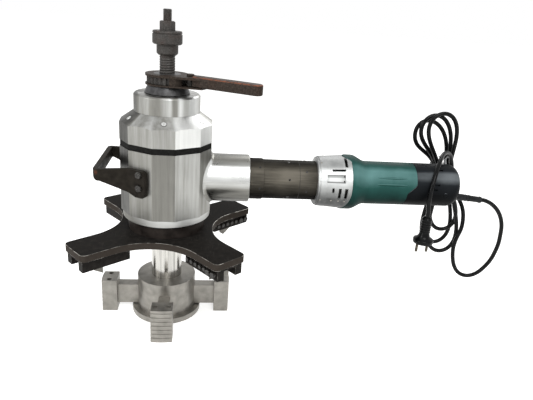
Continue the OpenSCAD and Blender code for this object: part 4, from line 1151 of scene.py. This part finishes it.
class BEVELING_OT_motor(bpy.types.Operator):
    """Builds the motor: die-cast vent housing, green shell and black rear shell"""

    bl_idname = "beveling.motor"
    bl_label = "Motor"

    def execute(self, context):
        rounded("vent_housing", cast_aluminium, 0.6)
        self.vent_details()
        self.green()
        self.rear()
        rounded("switch_button", black_shell, 0.6)
        return {"FINISHED"}

    def vent_radius(self, x):
        """Radius of the conical vent housing"""
        return VENT_FRONT_R + (WIDE_R - VENT_FRONT_R) * (x - VENT_X) / (GREEN_X - VENT_X)

    def patch(self, bm, side, start, end, x0, x1, thick):
        """Thin curved plate that lies on the vent housing"""
        part = bmesh.new()
        turn = Matrix.Rotation(radians(-side), 3, "X") @ on_motor(0, start, 1).to_3x3()
        ends = [Vector((x, 0, MOTOR_Z)) + (self.vent_radius(x) - 0.3) * turn.col[2] for x in (x0, x1)]
        bmesh.ops.spin(part, geom=polyline(part, ends), cent=(0, 0, MOTOR_Z), axis=(1, 0, 0), dvec=(0, 0, 0),
                       angle=radians(start - end), steps=8)
        bmesh.ops.remove_doubles(part, verts=part.verts, dist=0.001)
        skin = bmesh.ops.extrude_face_region(part, geom=part.faces[:])
        for vert in [g for g in skin["geom"] if isinstance(g, bmesh.types.BMVert)]:
            vert.co += thick * Vector((0, vert.co.y, vert.co.z - MOTOR_Z)).normalized()
        join(bm, part)

    def vent_details(self):
        """Raised rim, a pad with two holes on each side, small screws, and the dark shroud round the fan; the
        holes are dark discs and the shroud a dark sleeve, both painted shade
        """
        pads, dark, screws, rim = (bmesh.new() for _ in range(4))
        for side in (0, 180):
            self.patch(pads, side, *PAD_ANGLES, *PAD_ENDS, 1.1)
            for x, angle in PAD_HOLES:
                # The holes are dark discs of painted shade on the pads
                peg(dark, on_motor(x, angle + side, self.vent_radius(x) + 0.75), 1.5, 0.12, 0.05)
            for x, angle in VENT_SCREWS:
                peg(screws, on_motor(x, angle + side, self.vent_radius(x)), 1.7, 0.5, 0.3)
        face_outwards(pads)
        soften(pads, 0.5, 2, angle=40)
        make(pads, "vent_pads", "housing", bright_casting, turn_out=True)
        # A dark sleeve of painted shade behind the vent slots
        turned_motor(dark, [(FAN_X0, SHROUD_R), (FAN_X0, SHROUD_R + 0.4), (FAN_X1, SHROUD_R + 0.4),
                            (FAN_X1, SHROUD_R)])
        make(dark, "vent_painted_shade", "housing", joints_and_painted_shade, turn_out=True)
        low, high = self.vent_radius(RIM_X0 + 0.4), self.vent_radius(RIM_X1 - 0.6)
        turned_motor(rim, [(RIM_X0, low - 0.4), (RIM_X0 + 0.4, low + 0.3), (RIM_X1 - 0.6, high + 0.3),
                           (RIM_X1, high - 0.4)])
        make(rim, "vent_rim", "housing", cast_aluminium, turn_out=True)
        make(screws, "vent_screws", "housing", screw_steel, turn_out=True)

    def wrap(self, co):
        """Front edge of the green shell, which reaches further over the vents above and below"""
        angle = height_angle(co)
        reach = 12 * sin(radians(angle)) ** 2 if angle < 0 else 13 * eased(angle, 60, 90)
        return GREEN_X + 0.3 - reach

    def green(self):
        """Green shell: a rounded shoulder down to the barrel, with two long grip ridges on each side"""
        bm = bmesh.new()
        top = WIDE_R + 0.4
        rings = [(WIDE_R - 1.6, self.wrap), (WIDE_R - 0.1, self.wrap), (top, lambda co: self.wrap(co) + 0.7),
                 (top, GREEN_X + 5.0)]
        for k in range(1, 13):
            rings.append((top - (top - BARREL_R) * eased(k, 0, 12),
                          GREEN_X + 5 + k / 12 * (BARREL_X - GREEN_X)))
        for k in range(1, 7):
            share = k / 6
            rings.append((BARREL_R, lambda co, s=share: GREEN_STRAIGHT
                          + s * (green_edge(co) - 0.7 - GREEN_STRAIGHT)))
        rings += [(BARREL_R - 0.5, green_edge), (BARREL_R - 3, green_edge)]
        lofted(bm, rings)
        for angle in RIDGE_ANGLES:
            place = on_motor(RIDGE_X, angle, BARREL_R - 0.25) @ Matrix.Diagonal((29, 1.9, 0.95, 1))
            bmesh.ops.create_uvsphere(bm, u_segments=24, v_segments=12, radius=1.0, matrix=place)
        make(bm, "motor_shell_green", "housing", green_shell, nodes=("motor_housing",), turn_out=True)

    def rear(self):
        """Black rear shell: rounded end, air slots, screw bosses and a socket for the sleeve"""
        bm = bmesh.new()
        rings = [(BARREL_R - 3, lambda co: green_edge(co) + 0.1),
                 (BARREL_R - 0.5, lambda co: green_edge(co) + 0.1),
                 (BARREL_R, lambda co: green_edge(co) + 0.8)]
        straight = REAR_END - REAR_ROUND
        for k in range(1, 7):
            share = k / 6
            rings.append((BARREL_R, lambda co, s=share: green_edge(co) + 0.8
                          + s * (straight - green_edge(co) - 0.8)))
        for k in range(1, 13):
            t = k / 12 * pi / 2
            rings.append((BARREL_R - REAR_ROUND + REAR_ROUND * cos(t), straight + REAR_ROUND * sin(t)))
        end = lofted(bm, rings)
        bmesh.ops.contextual_create(bm, geom=end)
        bmesh.ops.holes_fill(bm, edges=[e for e in bm.edges if e.is_boundary], sides=0)
        face_outwards(bm)
        cutter = bmesh.new()
        for side in (0, 180):
            for x0, x1, angle in AIR_SLOTS:
                slot_cutter(cutter, x0, x1, angle + side, BARREL_R, 3.0, 3.0)
        slot_cutter(cutter, *SWITCH_POCKET, BARREL_R, 10.0, 9.2)
        face_outwards(cutter)
        bm = carved(bm, cutter)
        soften(bm, 0.5, 2, angle=50)
        make(bm, "motor_shell_rear", "housing", black_shell, nodes=("rear_housing",))
        bosses = bmesh.new()
        for angle in REAR_BOSS_ANGLES:
            peg(bosses, on_motor(REAR_BOSS_X, angle, BARREL_R), 3.6, 0.9, 0.5)
        socket = bmesh.new()
        turned(socket, [(6.2, 0), (9.4, 0), (9.4, 4.4), (8.6, 6.2), (7.6, 6.6), (6.2, 6.6)])
        socket.transform(SLEEVE_PLACE)
        join(bosses, socket)
        make(bosses, "rear_bosses", "housing", black_shell, turn_out=True)


class BEVELING_OT_expander(bpy.types.Operator):
    """Builds the expander head, its jaws and the foot"""

    bl_idname = "beveling.expander"
    bl_label = "Expander"

    def execute(self, context):
        rounded("expander_head", jaw_steel, 0.8)
        rounded("foot_plate", jaw_steel, 1.0)
        for number in range(1, 5):
            rounded(f"jaw_{number}", jaw_steel, 0.5)
        return {"FINISHED"}


class BEVELING_OT_inside(bpy.types.Operator):
    """Gives the parts inside the housing their finishes"""

    bl_idname = "beveling.inside"
    bl_label = "Inside parts"

    def execute(self, context):
        dress(screw_steel, "guide_key", "lower_bearing", "upper_bearing", "pinion_bearing", "pinion_shaft",
              "crown_gear", "reduction_unit")
        dress(jaw_steel, "expander_wedge")
        dress(turned_bronze, "guide_bush")
        dress(wound_core, "armature", "stator")
        return {"FINISHED"}


# Stage

# The photograph's camera: degrees round, above and rolled, the place it looks at and how far off it stands
VIEW_ANGLES, VIEW_TARGET, VIEW_DISTANCE = (-7.28, 20.74, 4.36), Vector((0.17582, 0, 0.2207)), 0.92626
LAMP_TARGET = Vector((0.2, 0, 0.25))
FLOOR_HALF, FLOOR_DROP = 12.0, 0.0003


def seen_directly(tree):
    """One for rays from the camera, a mirror or glass, and nought for the rest."""
    path = add(tree, "ShaderNodeLightPath")
    return sums(tree, sums(tree, path.outputs["Is Camera Ray"], path.outputs["Is Glossy Ray"], "MAXIMUM"),
                path.outputs["Is Transmission Ray"], "MAXIMUM")


def floor_paper(tree, hues):
    """Floor: matt white paper that glows a little to the eye, so it reads white and keeps the shadow."""
    matt = add(tree, "ShaderNodeBsdfDiffuse", Color=colour("#f2f2f0"))
    glow = add(tree, "ShaderNodeEmission", Strength=sums(tree, seen_directly(tree), 0.6, "MULTIPLY"))
    both = add(tree, "ShaderNodeAddShader")
    tree.links.new(matt.outputs[0], both.inputs[0])
    tree.links.new(glow.outputs[0], both.inputs[1])
    add(tree, "ShaderNodeOutputMaterial", Surface=both.outputs[0])


class BEVELING_OT_stage(bpy.types.Operator):
    """Sets the floor, the soft lamps, the white surroundings and the camera"""

    bl_idname = "beveling.stage"
    bl_label = "Stage"

    def execute(self, context):
        scene = context.scene
        scene.view_settings.view_transform = "Standard"
        scene.camera = self.camera()
        scene.world = self.world()
        self.floor()
        self.lamps()
        return {"FINISHED"}

    def camera(self):
        """Camera at the photograph's place, with its slight roll"""
        azimuth, elevation, roll = (radians(a) for a in VIEW_ANGLES)
        back = Vector((sin(azimuth) * cos(elevation), -cos(azimuth) * cos(elevation), sin(elevation)))
        right = (-back).cross(Vector((0, 0, 1))).normalized()
        up = right.cross(-back)
        across = right * cos(roll) + up * sin(roll)
        upright = up * cos(roll) - right * sin(roll)
        data = bpy.data.cameras.new("photo_view")
        data.sensor_width = 36.0
        data.lens = 34.87
        camera = put("photo_view", data)
        place = Matrix((across, upright, back)).transposed().to_4x4()
        place.translation = VIEW_TARGET + back * VIEW_DISTANCE
        camera.matrix_world = place
        return camera

    def floor(self):
        """Pale floor, a hair below the foot"""
        bm = bmesh.new()
        bmesh.ops.create_grid(bm, x_segments=1, y_segments=1, size=FLOOR_HALF)
        bmesh.ops.translate(bm, vec=(0, 0, -FLOOR_DROP), verts=bm.verts)
        mesh = bpy.data.meshes.new("floor")
        bm.to_mesh(mesh)
        bm.free()
        mesh.materials.append(finish(floor_paper))
        put("floor", mesh)

    def lamps(self):
        """Large soft lamps: high front, left, and a weak one behind"""
        for name, place, size, power in (
                ("front_softbox", (0.35, -1.5, 1.9), 1.3, 30.0),
                ("left_softbox", (-1.7, -0.9, 1.1), 0.9, 14.0),
                ("back_softbox", (0.9, 1.6, 1.6), 1.2, 16.0)):
            data = bpy.data.lights.new(name, "AREA")
            data.size = size
            data.energy = power
            lamp = put(name, data)
            lamp.location = place
            lamp.rotation_euler = (LAMP_TARGET - Vector(place)).to_track_quat("-Z", "Y").to_euler()

    def world(self):
        """White surroundings to the eye and in reflections, and an even fill light"""
        world = bpy.data.worlds.new("studio")
        world.use_nodes = True
        tree = world.node_tree
        tree.nodes.clear()
        level = sums(tree, sums(tree, seen_directly(tree), 0.5, "MULTIPLY"), 0.5)
        sky = add(tree, "ShaderNodeBackground", Color=(1.0, 1.0, 1.0, 1.0), Strength=level)
        add(tree, "ShaderNodeOutputWorld", Surface=sky.outputs[0])
        return world


class BEVELING_PT_panel(bpy.types.Panel):
    """Lists the machine's builders, sizes and colours"""

    bl_idname = "BEVELING_PT_panel"
    bl_label = "Pipe beveling machine"
    bl_space_type = "VIEW_3D"
    bl_region_type = "UI"
    bl_category = "Beveling"

    def draw(self, context):
        for operator in OPERATORS:
            self.layout.operator(operator.bl_idname)
        for group in (context.scene.beveling_sizes, context.scene.beveling_colours):
            column = self.layout.column()
            for name in group.__annotations__:
                column.prop(group, name)


OPERATORS = (BEVELING_OT_stage, BEVELING_OT_cord, BEVELING_OT_housing, BEVELING_OT_handle, BEVELING_OT_feed,
             BEVELING_OT_cutter, BEVELING_OT_gearbox, BEVELING_OT_motor, BEVELING_OT_expander,
             BEVELING_OT_inside)
CLASSES = (BevelingSizes, BevelingColours) + OPERATORS + (BEVELING_PT_panel,)


def register():
    """Registers the classes and hangs the settings on the scene."""
    for cls in CLASSES:
        bpy.utils.register_class(cls)
    bpy.types.Scene.beveling_sizes = PointerProperty(type=BevelingSizes)
    bpy.types.Scene.beveling_colours = PointerProperty(type=BevelingColours)


def unregister():
    """Takes the settings and classes away again."""
    del bpy.types.Scene.beveling_colours
    del bpy.types.Scene.beveling_sizes
    for cls in reversed(CLASSES):
        bpy.utils.unregister_class(cls)


def main():
    """Builds the whole machine."""
    register()
    bpy.ops.beveling.stage()
    bpy.ops.beveling.cord()
    bpy.ops.beveling.housing()
    bpy.ops.beveling.handle()
    bpy.ops.beveling.feed()
    bpy.ops.beveling.cutter()
    bpy.ops.beveling.gearbox()
    bpy.ops.beveling.motor()
    bpy.ops.beveling.expander()
    bpy.ops.beveling.inside()


if __name__ == "__main__":
    main()
